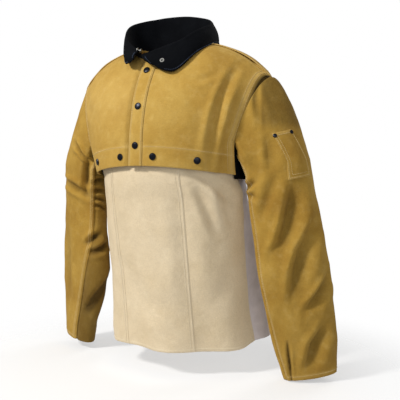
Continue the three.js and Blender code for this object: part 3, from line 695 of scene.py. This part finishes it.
def back_relief(u, v, p):
    x, z = p[..., 0], p[..., 2]
    h = (ripple(p, 130, 12) * 2.6 + ripple(p, 50, 14, 2) * 0.6) * smooth(z, HEM_FLAT, HEM_LOOSE)
    return h + folds(-x, z, BACK_FOLDS) + folds(x, z, BACK_FOLDS)


def back_base(u, v):
    p = torso_patch(np.abs(u), v, 1)
    p[..., 0] *= np.sign(u) + (u == 0)
    return p


STEP = (1e-3, 1e-3)
left_front = Skin(lambda u, v: torso_patch(u, v, -1), STEP, left_front_relief)
right_front = Skin(left_front.base, STEP, right_front_relief, mirror=True)
back = Skin(back_base, STEP, back_relief, out=-1)
BAND_HEIGHT = 43.0
LINING_SHARE = 0.196  # of the panel's height: a little more than the hem band
S0, S1 = share(-17), share(17)  # the placket's edges
ROWS = np.append(np.linspace(0, 0.03, 4)[:-1], np.linspace(0.03, 1, 104))
BACK_ROWS = np.append(ROWS, [1.012, 1.024, 1.036])
SEAM_WEAR = 2.6  # how far the pale line beside a seam reaches


def over_hem(p):
    return p[..., 2] - hem_z(p[..., 0])


def seam_wear(width, *lines):
    """Leather is paler where it is pressed along a seam; each line gives the distance from one."""
    return lambda U, V, p: np.clip(sum(bump(line(U, V, p), 0, width) for line in lines), 0, 1)


def side_lines(start, end, radius, inset):
    """Lines for `seam_wear` that run just inside both sides of a panel."""
    return lambda U, V, p: (U - start(V)) * radius - inset, lambda U, V, p: (end(V) - U) * radius - inset


def side_edge(U, V):
    """Above the notch the body's edge laps over the sleeve; below it the edge is drawn in."""
    reach = lerp(0.998, 1.012, smooth(V, 0.24, 0.4))
    return np.where(np.abs(U) > 0.5, np.sign(U) * (0.5 + (np.abs(U) - 0.5) * (reach - 0.5) / 0.5), U), V


def seam_shadow(U, V, p):
    """Painted shadow: the front's edge is darkened where it meets the sleeve."""
    return 0.85 * smooth(U, 0.994, 1.008) * smooth(V, 0.22, 0.3)


def dive(U, V):
    """Near the middle the right front lies below the surface, so that it passes under the placket."""
    return -7.6 * (1 - smooth(U * HEM_X, 18, 34))


def band_seam(U, V, p):
    return over_hem(p) - BAND_HEIGHT


front_wear = seam_wear(
    SEAM_WEAR,
    band_seam,
    lambda U, V, p: (1 - U) * LEATHER_WIDTH - 4,
    lambda U, V, p: (1 - V) * 250 - 9,
    lambda U, V, p: (U - S1) * LEATHER_WIDTH,
)
back_wear = seam_wear(
    SEAM_WEAR,
    band_seam,
    lambda U, V, p: (1 - np.abs(U)) * LEATHER_WIDTH - 7,
    lambda U, V, p: (1.01 - V) * 280,
)
placket_wear = seam_wear(2.4, lambda U, V, p: (np.abs(U) / S1 - 0.84) * 17)


def right_front_wear_and_band(U, V, p):
    # Paler beside the seams from wear, and paler in a band across the chest at about 655 mm.
    return front_wear(U, V, p) + 0.5 * bump(p[..., 2], 655, 70)


def cape_sheet(name, nodes, skin, us, vs, thickness, **looks):
    """A leather piece of the cape. Those over the left front have their placement baked; the others are
    attached to the cape.
    """
    piece = sheet(name, skin, us, vs, LEATHER, thickness, **looks)
    if skin is left_front:
        bend_front(piece)
    else:
        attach(piece, "cape")
    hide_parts(*nodes)


cape_sheet("left_front", ["left_front_panel", "left_front_side"], left_front, np.linspace(S0, 1, 90), ROWS,
           1.6, wear=front_wear, soil=seam_shadow, curve=side_edge)
cape_sheet("right_front", ["right_front_panel"], right_front, np.linspace(share(-22), 1, 92), ROWS, 1.6,
           lift=dive, wear=right_front_wear_and_band, soil=seam_shadow, curve=side_edge)
cape_sheet("back_panel_leather", ["back_panel"], back, np.linspace(-1, 1, 170), BACK_ROWS, 1.7,
           lift=lambda U, V: 2.0 * smooth(V, 0.95, 1.0), wear=back_wear, curve=side_edge)
cape_sheet("placket", ["placket_strip"], left_front, np.linspace(S0, S1, 16), ROWS * 0.985, 2.3,
           lift=lambda U, V: 2.7 - 0.6 * (np.abs(U) / S1) ** 6, wear=placket_wear)
cape_sheet("underlap", ["underlap_facing"], Skin(left_front.base, STEP), np.linspace(S0, share(22), 14),
           ROWS * 0.97, 1.5, lift=-9.6)
for side, skin, us in (
    ("left", left_front, np.linspace(share(24), 0.965, 70)),
    ("right", right_front, np.linspace(share(36), 0.965, 60)),
    ("back", back, np.linspace(-0.965, 0.965, 130)),
):
    vs = np.linspace(0, LINING_SHARE, 12)
    cape_sheet(f"{side}_hem_lining", [f"{side}_hem_facing"], skin, us, vs, 1.3, lift=-1.9)


def gusset(k, t):
    """The black cloth under the arm: k from the front edge to the back one, t from the hem to the notch."""
    x = lerp(HEM_X, NOTCH_X, t)
    z = lerp(hem_z(HEM_X), NOTCH_Z, t)
    angle = crown_angle(x, z)
    p = lerp(torso(x, angle, -1), torso(x, angle, 1), lerp(0.02, 0.98, k)[..., None])
    middle = np.sin(np.clip(k, 0, 1) * np.pi)
    p[..., 0] += -5 + 16 * middle * (1 - t) + 3 * np.sin(k * 5 * np.pi) * middle * (1 - t)
    return p


for side in ("left", "right"):
    cloth_skin = Skin(gusset, STEP, lambda u, v, p: ripple(p, 30, 21) * 1.2, mirror=side == "right")
    us, vs = np.linspace(-0.01, 1.03, 46), np.linspace(-0.14, 0.97, 34)
    piece = sheet(f"{side}_gusset", cloth_skin, us, vs, BLACK, 1.2)
    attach(piece, "cape")
    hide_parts(f"{side}_underarm_gusset")


# ---- Stitch groups ----
stitch_groups = {}


def add_stitches(group, skin, lift, *paths):
    """Adds seams to a group; each path is a list of (u, v) points over the skin."""
    stitch_groups.setdefault(group, []).extend((skin, lift, path) for path in paths)


def path_of(us, vs):
    """A path through these u and v, of which one may be a single number."""
    return np.stack(np.broadcast_arrays(us, vs), 1)


def band_path(skin, start, end):
    """Along the hem band's seam."""
    us = np.linspace(start, end, 100)
    return path_of(us, find_row(lambda v: over_hem(skin.base(us, v)) < BAND_HEIGHT, us.shape, 0, 0.4))


def armhole_path(sign, inset=0.0):
    v = np.linspace(0.02, 0.97, 60)
    return path_of(sign * (lerp(0.982, 0.994, smooth(v, 0.24, 0.4)) - inset), v)


placket_rows = np.linspace(0.01, 0.975, 60)
add_stitches("left_front", left_front, 2.8, *(path_of(edge * 0.84, placket_rows) for edge in (S0, S1)))
for group, skin, start in (("left_front", left_front, S1 * 1.1), ("right_front", right_front, share(36))):
    add_stitches(group, skin, 0.2, band_path(skin, start, 0.985), armhole_path(1), armhole_path(1, 0.022))
for offset in (1.004, 1.026):
    for sign in (-1, 1):
        add_stitches("back", back, 2.2, path_of(np.linspace(0.42, 0.985, 50) * sign, offset))
add_stitches("back", back, 0.2, band_path(back, -0.985, 0.985))
add_stitches("back", back, 0.3, armhole_path(-1), armhole_path(1))


# ---- Sleeves ----
# A sleeve's paths go through (arc from the shoulder line, height); negative arcs are on the front side.
FOLDS = {
    "left": (
        ([(-76, 458), (-100, 375), (-116, 330), (-138, 300)], 13, 13.0),
        ([(-48, 368), (-84, 306), (-100, 250), (-112, 190)], 13, 13.0),
        ([(-28, 240), (-68, 196), (-90, 165)], 11, 11.0),
        ([(-54, 130), (-84, 90), (-106, 30)], 13, 11.0),
        ([(-108, 480), (-128, 435), (-152, 383)], 9, 6.0),
        ([(-200, 460), (-172, 461), (-148, 472)], 6, 8.0),
        ([(-190, 436), (-168, 440), (-150, 432)], 6, 4.0),
        ([(-20, 660), (-50, 628), (-66, 600), (-88, 570)], 9, 6.0),
        ([(-92, 560), (-112, 520), (-118, 486)], 10, 5.0),
        ([(-134, 100), (-140, 55), (-149, 2)], 4, 6.5),  # the cuff's slit
        ([(60, 440), (40, 340), (62, 250)], 16, 5.0),
        ([(110, 300), (80, 220), (96, 120)], 16, 5.0),
    ),
    "right": (
        ([(-92, 553), (-121, 556), (-160, 546)], 6, 13.0),
        ([(-154, 548), (-158, 498), (-154, 438)], 7, 12.0),
        ([(-62, 458), (-115, 451), (-147, 441), (-173, 424)], 8, 10.0),
        ([(-168, 466), (-186, 474), (-210, 478)], 5, 8.0),
        ([(-170, 446), (-192, 448), (-216, 444)], 5, 8.0),
        ([(-172, 428), (-195, 425), (-220, 416)], 5, 8.0),
        ([(-172, 412), (-197, 407), (-222, 394)], 5, 8.0),
        ([(-158, 300), (-173, 322), (-196, 340)], 7, 11.0),
        ([(-168, 286), (-190, 298), (-214, 312)], 7, 10.0),
        ([(-152, 118), (-176, 142), (-212, 226)], 13, 8.0),
        ([(-100, 330), (-88, 240), (-96, 140)], 18, 4.0),
        ([(60, 440), (40, 340), (62, 250)], 16, 5.0),
    ),
}


TURNS = (-2 * np.pi, 0, 2 * np.pi)  # a fold or seam also counts from a full turn away


def arc_height(v):
    """The height that the folds' tables use, from v."""
    return np.where(v < 1, lerp(650, HEAD_END, v), HEAD_END - (v - 1) * SLEEVE_LENGTH)


def creases(side, phi, v):
    """The folds alone, as a height."""
    z, h = arc_height(v), np.zeros(np.shape(phi))
    for turn in TURNS:
        for path, width, depth in FOLDS[side]:
            h = h + fold((phi + turn) * ARC, z, path, width, depth, skew=0.4 if width > 9 else 0.0)
    return h


def sleeve_relief(side):
    seed = 31 if side == "left" else 57

    def relief(phi, v, p):
        z = arc_height(v)
        h = creases(side, phi, v) + ripple(p * np.array([1, 1, 0.55]), 75, seed) * 2.6
        h = h + ripple(p, 34, seed + 5, 2) * 0.7
        for turn in TURNS:
            groove = (phi + turn - seam_front(side)(v)) * ARC
            h = h - 4.0 * bump(groove, -4, 5) * smooth(v, 0.5, 1.0) + 1.2 * bump(groove, 8, 6)
        h = h + 10 * bump(phi, deg(-165), 0.4) * bump(z, 505, 32)
        calm_top = smooth(v, 0.0, 0.25)
        if side == "left":
            # The sleeve stands out in front of the notch, and the pocket's patch lies flat.
            h = h + 17 * (bump(phi, deg(-152), 0.36) + bump(phi, deg(208), 0.36)) * bump(p[..., 2], 525, 24)
            calm_top = calm_top * (1 - 0.8 * bump(phi, deg(-52), 0.42) * bump(z, 515, 75))
        else:
            # The under panel hangs full below the elbow.
            h = h + 34 * (bump(phi, np.pi, 0.6) + bump(phi, -np.pi, 0.6)) * bump(z, 235, 100)
        return h * calm_top * (1 - 0.7 * smooth(v, 1.93, 2.0))

    return relief


def between_seams(start, end):
    """Grid bender: u 0 to 1 becomes the angle from one seam to the other at that height."""
    return lambda U, V: (lerp(start(V), end(V), U), V)


def sleeve_soil(side, part):
    """Painted shade on a sleeve: darker along the armhole seam, in the folds and on the right under panel.

    On the left the painted shade also darkens the head's outer side, towards the cuff and the cuff's slit."""

    def amount(U, V, p):
        # A painted shadow along the armhole seam, under the body's lapping edge.
        low = lerp(0.004, 0.032, smooth(-p[..., 1], -10, 15))
        k = 1 - smooth(V, low, low + 0.018)
        # Painted shade in the folds' valleys: the deeper the fold, the darker.
        k = k + (0.6 if side == "right" else 0.42) * np.clip(-creases(side, U, V) / 9, 0, 1)
        # Painted shade over the right under panel, stronger towards the cuff.
        if side == "right" and part == "under":
            k = k + lerp(0.42, 0.72, smooth(V, 1.2, 1.8))
        if side == "left" and part == "outer":
            # Painted shade on the head's outer side and towards the cuff, where the sleeve turns from the
            # light.
            across = 0.886 * p[..., 0] + 0.463 * p[..., 1]  # along the sleeve's broad side
            k = k + 0.55 * smooth(across, 202, 210) * smooth(p[..., 2], 566, 600)
            k = k + 0.16 * smooth(-p[..., 2], -360, -120)
            # A painted shadow inside the cuff's slit.
            slit = U * ARC - lerp(-149, -134, p[..., 2] / 100)
            k = k + 0.8 * bump(slit, 0, 2) * (1 - smooth(p[..., 2], 88, 104))
        return np.clip(k, 0, 1)

    return amount


def sleeve_wear(level, front, last):
    """The outer panel is pale beside both of its seams and at its end, the armhole or the cuff."""
    return seam_wear(
        3.0,
        *side_lines(front, seam_back, ARC, 6),
        lambda U, V, p: V * 150 - 4 if level == "upper" else (last - V) * SLEEVE_LENGTH - 9,
    )


ELBOW_V = tube_v(385)
HEAD_ROWS = [-0.05, -0.025, -0.008, 0, 0.008, 0.016, 0.024, 0.032, 0.04, 0.05]
UPPER_ROWS = np.concatenate([HEAD_ROWS, np.linspace(0.06, 1, 46), np.linspace(1, ELBOW_V, 34)[1:]])
LOWER_ROWS = {"left": np.linspace(ELBOW_V, 2, 112), "right": np.linspace(ELBOW_V, tube_v(28), 108)}
STITCH_ROWS = (0.0448, 0.1176)  # angles between a seam and its two rows of stitches


def build_sleeve(side):
    skin = Skin(sleeve, (2e-3, 1e-3), sleeve_relief(side), mirror=side == "right", out=-1)
    front, last = seam_front(side), LOWER_ROWS[side][-1]
    spans = {
        "outer": (lambda v: front(v) - 0.03, lambda v: seam_back(v) + 0.03, 110, 1.5),
        "under": (seam_back, lambda v: front(v) + 2 * np.pi, 44, 0.0),
    }
    levels = {
        "upper": (UPPER_ROWS, -1, 0.02, ELBOW_V),
        "forearm": (LOWER_ROWS[side], 0, ELBOW_V, last - 0.012),
    }
    for part, (start, end, columns, over) in spans.items():
        for level, (rows, cut_row, _, _) in levels.items():
            piece = sheet(
                f"{side}_{level}_{part}_panel", skin, np.linspace(0, 1, columns), rows, SLEEVE_LEATHER, 1.6,
                lift=lambda U, V: over - 4.0 * (1 - smooth(V, -0.012, 0.05)),
                wear=sleeve_wear(level, front, last) if part == "outer" else None,
                soil=sleeve_soil(side, part), curve=between_seams(start, end), cut_row=cut_row)
            bend_sleeve(piece, side, level)
            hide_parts(f"{side}_{level}_sleeve_{part}")
            if part == "outer" and level == "upper":
                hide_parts(f"{side}_sleeve_head")
    for seam, sign in ((front, 1), (seam_back, -1)):
        for level, (_, _, low, high) in levels.items():
            v = np.linspace(low, high, 40)
            paths = (path_of(seam(v) + sign * away, v) for away in STITCH_ROWS)
            add_stitches(f"{side}_{level}", skin, 1.7, *paths)
    around = np.linspace(front(2) + 0.05, seam_back(2) - 0.05, 40)
    add_stitches(f"{side}_forearm", skin, 1.7, path_of(around, last - 0.018))


for side in ("left", "right"):
    build_sleeve(side)


# ---- Pen pocket ----
def pocket_base(a, k):
    """a runs across the pocket from its front edge and k down it."""
    phi = lerp(deg(-76), deg(-38), a) + lerp(deg(-4), deg(8), a) * k
    z = lerp(566, 464, k) + 10 * a
    return sleeve(phi, find_row(lambda v: sleeve(phi, v)[..., 2] > z, phi.shape, 0.2, 1.4))


def pocket_relief(u, v, p):
    return ripple(p, 40, 77) * 0.5 + 2.2 * bump(u, 0.5, 0.3) * smooth(v, 0.1, 0.6) * (1 - smooth(v, 0.75, 1))


POCKET_WIDTH, POCKET_LENGTH = 60, 110
pocket = Skin(pocket_base, (4e-3, 4e-3), pocket_relief, out=-1)
pocket_wear = seam_wear(
    2.2,
    *side_lines(lambda V: 0.06, lambda V: 0.94, POCKET_WIDTH, 0),
    lambda U, V, p: (V - 0.96) * POCKET_LENGTH,
    lambda U, V, p: V * POCKET_LENGTH - 4,
)
pocket_piece = sheet("pen_pocket_patch", pocket, np.linspace(0, 1, 30), np.linspace(0, 1, 44), SLEEVE_LEATHER,
                     1.5, lift=2.9, wear=pocket_wear)
bend_sleeve(pocket_piece, "left", "upper")
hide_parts("pen_pocket")
add_stitches("left_upper", pocket, 3.0, [(0.05, 0.03), (0.05, 0.96)], [(0.16, 0.05), (0.16, 0.9)],
             [(0.95, 0.03), (0.95, 0.96)], [(0.05, 0.965), (0.95, 0.965)],
             [(0.16, 0.9), (0.88, 0.9)], [(0.08, 0.05), (0.92, 0.05)])


# ---- Collar ----
NECK_SNAP_ANGLE = 154
FREE_END = 168  # degrees from the centre back
SPLIT = 92  # from here the left wing goes with the left front


def collar_relief(angle, k, p):
    """Soft ripples, and a shallow dent where the neck snap's ring sits."""
    soft = ripple(p, 48, 41, 2) * smooth(k, 0.1, 0.4) * (1 - bump(angle, NECK_SNAP_ANGLE, 9))
    return soft - 2.4 * bump(angle, NECK_SNAP_ANGLE, 5) * bump(k, 1.55, 0.16)


def rounded_ends(U, V):
    """The fall's front corners are cut round. At the back the stand goes in under the leather."""
    a = np.abs(U)
    below = V * (1 - 0.95 * smooth(a, 55, 95))
    above = 1 + np.clip(V - 1, 0, 1) * (1 - 0.16 * smooth(a, 154, FREE_END) ** 2)
    return U, np.where(V < 0, below, np.where(V > 1, above, V))


collar_skin = Skin(collar, (0.4, 2e-3), collar_relief)
stand_rows = np.append(np.linspace(-0.24, 0.03, 8)[:-1], np.linspace(0.03, 0.86, 22))
fall_rows = np.append(np.linspace(0.88, 1.12, 13), np.linspace(1.14, 2, 36))
collar_rows = np.append(stand_rows, fall_rows)


def collar_piece(side, start, end, columns):
    us = np.linspace(start, end, columns)
    piece = sheet(f"collar_cloth_{side}", collar_skin, us, collar_rows, BLACK, 2.3, curve=rounded_ends)
    return piece


collar_main = collar_piece("main", -FREE_END, SPLIT, 200)
collar_left = collar_piece("left", SPLIT, FREE_END, 70)
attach(collar_main, "cape")
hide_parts("collar_stand", "collar_fall")
bend_front(collar_left)
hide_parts("left_collar_stand", "left_collar_wing")
add_stitches("collar_main", collar_skin, 0.3, [(-165, 1.2), (-165, 1.8)],
             [(-154, 1.94), (-40, 1.94), (SPLIT, 1.94)])
add_stitches("collar_left", collar_skin, 0.3, [(165, 1.2), (165, 1.8)], [(SPLIT, 1.94), (154, 1.94)])

# The neck snap's stud stands on the right wing's corner, edge on: a flange, a thin post and a head.
STUD_AT, STUD_AXIS, STUD_SIDES = np.array([-14.0, -121.0, 760.0]), np.array([0.93, 0.1, -0.34]), 20
axis = unit(STUD_AXIS)
a = unit(np.cross(axis, [0, 0, 1.0]))
turn = np.arange(STUD_SIDES)[:, None] * 2 * np.pi / STUD_SIDES
circle = np.cos(turn) * a + np.sin(turn) * np.cross(axis, a)
verts, faces = [], []
for along, radius, thickness in ((-4.5, 4.6, 1.3), (0, 1.3, 8.0), (4.5, 4.6, 1.3)):
    ring = np.arange(STUD_SIDES) + STUD_SIDES * len(verts)
    turned = np.roll(ring, -1)
    for end in (-0.5, 0.5):
        verts.append(STUD_AT + STUD_AXIS * along + circle * radius + axis * thickness * end)
    faces += np.stack([ring, turned, turned + STUD_SIDES, ring + STUD_SIDES], -1).tolist()
    faces += [ring[::-1].tolist(), (ring + STUD_SIDES).tolist()]
stud = make_mesh("neck_snap_stud", np.concatenate(verts), faces, STEEL)
stud.data.polygons.foreach_set("use_smooth", np.zeros(len(stud.data.polygons), bool))
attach(stud, "cape")


# ---- Bib ----
BIB_FOLDS = (
    ([(96, 505), (132, 472), (153, 450), (174, 422), (186, 398)], 8, 6.5),
    ([(122, 456), (142, 388), (158, 328)], 9, 6.5),
    ([(172, 470), (168, 400), (176, 330)], 9, 4.0),
    ([(84, 440), (92, 330), (90, 240), (98, 150)], 16, 3.5),
    ([(-150, 470), (-140, 300), (-150, 120)], 18, 5.0),
    ([(-60, 240), (-20, 180), (60, 150)], 26, 3.0),
    ([(150, 300), (166, 240), (156, 170)], 14, 4.0),
)


def bib_relief(angle, k, p):
    z = p[..., 2]
    h = ripple(p * np.array([1, 1, 0.6]), 120, 61) * 4.5 + ripple(p, 50, 66, 2) * 0.7
    h = h + folds(p[..., 0], z, BIB_FOLDS)
    h = h + 7.2 * np.sin(angle * 6.5 + 0.6) * smooth(480 - z, 40, 420)
    return h * smooth(540 - z, 20, 110)


bib_skin = Skin(bib, (2e-3, 2e-3), bib_relief)
bib_rows = np.linspace(0, 1, 150)
BIB_EDGES = {"seam": (29, 29), "side": (100, 83), "end": (124, 124)}  # degrees at the foot and at the top


def bib_edge(kind, sign, lap=0.0):
    """An edge of a bib panel, as the angle at each height; `lap` carries it on past the seam."""
    return lambda V: sign * deg(lerp(*BIB_EDGES[kind], V) + lap)


def bib_piece(name, columns, lift, start, end, *nodes):
    """A pale leather panel with worn edges, or a cloth wing, whose top is a little lower."""
    wing = name.endswith("wing")
    wear = seam_wear(2.2, *side_lines(start, end, BIB_ARC, 4), lambda U, V, p: V * 480 - 6)
    piece = sheet(
        f"bib_{name}_leather", bib_skin, np.linspace(0, 1, columns), bib_rows[:-12] if wing else bib_rows,
        WING if wing else BIB_LEATHER, 0.7 if name == "centre" else 1.6, lift=lift,
        wear=None if wing else wear, curve=between_seams(start, end))
    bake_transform(piece)
    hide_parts(*nodes)


centre_edges = (bib_edge("seam", sign, 2.2) for sign in (-1, 1))
bib_piece("centre", 72, 0.8, *centre_edges, "bib_centre_panel", "bib_top_strip")
bib_piece("left", 76, 0.0, bib_edge("seam", 1), bib_edge("side", 1), "bib_left_panel")
bib_piece("right", 76, 0.0, bib_edge("side", -1), bib_edge("seam", -1), "bib_right_panel")
bib_piece("left_wing", 34, -2.0, bib_edge("side", 1, -2), bib_edge("end", 1), "bib_left_wing")
bib_piece("right_wing", 34, -2.0, bib_edge("end", -1), bib_edge("side", -1, -2), "bib_right_wing")
for angle, lift in ((-30.2, 1.6), (-28.0, 1.6), (28.0, 1.05), (30.2, 1.05)):
    add_stitches("bib", bib_skin, lift, [(deg(angle), 0.01), (deg(angle), 0.98)])
add_stitches("bib", bib_skin, 0.2, path_of(deg(np.linspace(-98, 98, 60)), 0.014))


# ---- Stitching ----
for group, runs in stitch_groups.items():
    thread, slot = TAN_THREAD, "leather"
    if group == "bib":
        thread, slot = PALE_THREAD, "bib_leather"
    elif group.startswith("collar"):
        thread, slot = BLUE_THREAD, "collar_cloth"
    piece = stitches(f"stitching_{group}", runs, thread)
    if group in ("left_front", "collar_left"):
        bend_front(piece)
    elif group == "bib":
        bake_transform(piece)
    elif group.endswith(("_upper", "_forearm")):
        bend_sleeve(piece, *group.split("_"))
    else:
        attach(piece, "cape")


# ---- Hardware ----
def repaint(node, material):
    node.data.materials.clear()
    node.data.materials.append(material)


for name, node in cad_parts.items():
    if "cap" in name.split("_") or "rivet" in name:
        repaint(node, ENAMEL)
    elif any(word in name for word in ("stud", "socket", "ring")):
        repaint(node, STEEL)
    elif name == "hang_loop":
        repaint(node, BLACK)


# ---- Stage ----
bpy.ops.mesh.primitive_plane_add(size=6, location=(0, 0, -0.002))
floor = bpy.context.object
floor.name = "floor"
paint, tree, shader = node_material("floor_paint")
# The floor fades out with the distance from the middle.
far = add_node(tree, "VectorMath", {}, operation="LENGTH")
connect(tree, far, {0: add_node(tree, "TexCoord", {}).outputs["Object"]})
limits = {"From Min": 0.3, "From Max": 0.8, "To Min": 0.55, "To Max": 0.0}
inputs = {"Value": far.outputs["Value"], **limits}
fade = add_node(tree, "MapRange", inputs, interpolation_type="SMOOTHSTEP").outputs["Result"]
connect(tree, shader, {"Base Color": grey(0.93), "Roughness": 0.9, "Alpha": fade})
floor.data.materials.append(paint)


def area(name, place, size, power, colour=(1, 1, 1)):
    """A round area light that is turned to the middle of the jacket."""
    data = bpy.data.lights.new(name, "AREA")
    data.shape, data.size, data.energy, data.color = "DISK", size, power, colour
    lamp = bpy.data.objects.new(name, data)
    lamp.location = place
    lamp.rotation_euler = (Vector((0, 0, 0.5)) - Vector(place)).to_track_quat("-Z", "Y").to_euler()
    bpy.context.scene.collection.objects.link(lamp)


area("key", (-1.35, -2.5, 2.45), 0.6, 111, (1, 0.975, 0.94))
area("fill", (2.2, -2.6, 1.1), 2.4, 30)
area("rim", (0.8, 2.4, 2.4), 1.5, 18)
# The world looks white, but it lights the jacket with less than that.
world = bpy.data.worlds.new("studio")
world.use_nodes = True
tree = world.node_tree
ray = add_node(tree, "LightPath", {}).outputs["Is Camera Ray"]
strength = add_node(tree, "MapRange", {"Value": ray, "To Min": 0.38, "To Max": 1.0}).outputs["Result"]
connect(tree, tree.nodes["Background"], {"Color": grey(1), "Strength": strength})
bpy.context.scene.world = world
bpy.context.scene.view_settings.view_transform = "Standard"

CAMERA_TARGET, CAMERA_DISTANCE = Vector((0.079, 0.003, 0.415)), 1.5
camera_data = bpy.data.cameras.new("camera")
camera_data.sensor_width, camera_data.lens = 36, 56.07
camera = bpy.data.objects.new("camera", camera_data)
bpy.context.scene.collection.objects.link(camera)
azimuth, elevation = deg(27.6), deg(2.2)
level = np.cos(elevation)
towards_camera = Vector((np.sin(azimuth) * level, -np.cos(azimuth) * level, np.sin(elevation)))
camera.location = CAMERA_TARGET + towards_camera * CAMERA_DISTANCE
camera.rotation_euler = (-towards_camera).to_track_quat("-Z", "Y").to_euler()
bpy.context.scene.camera = camera
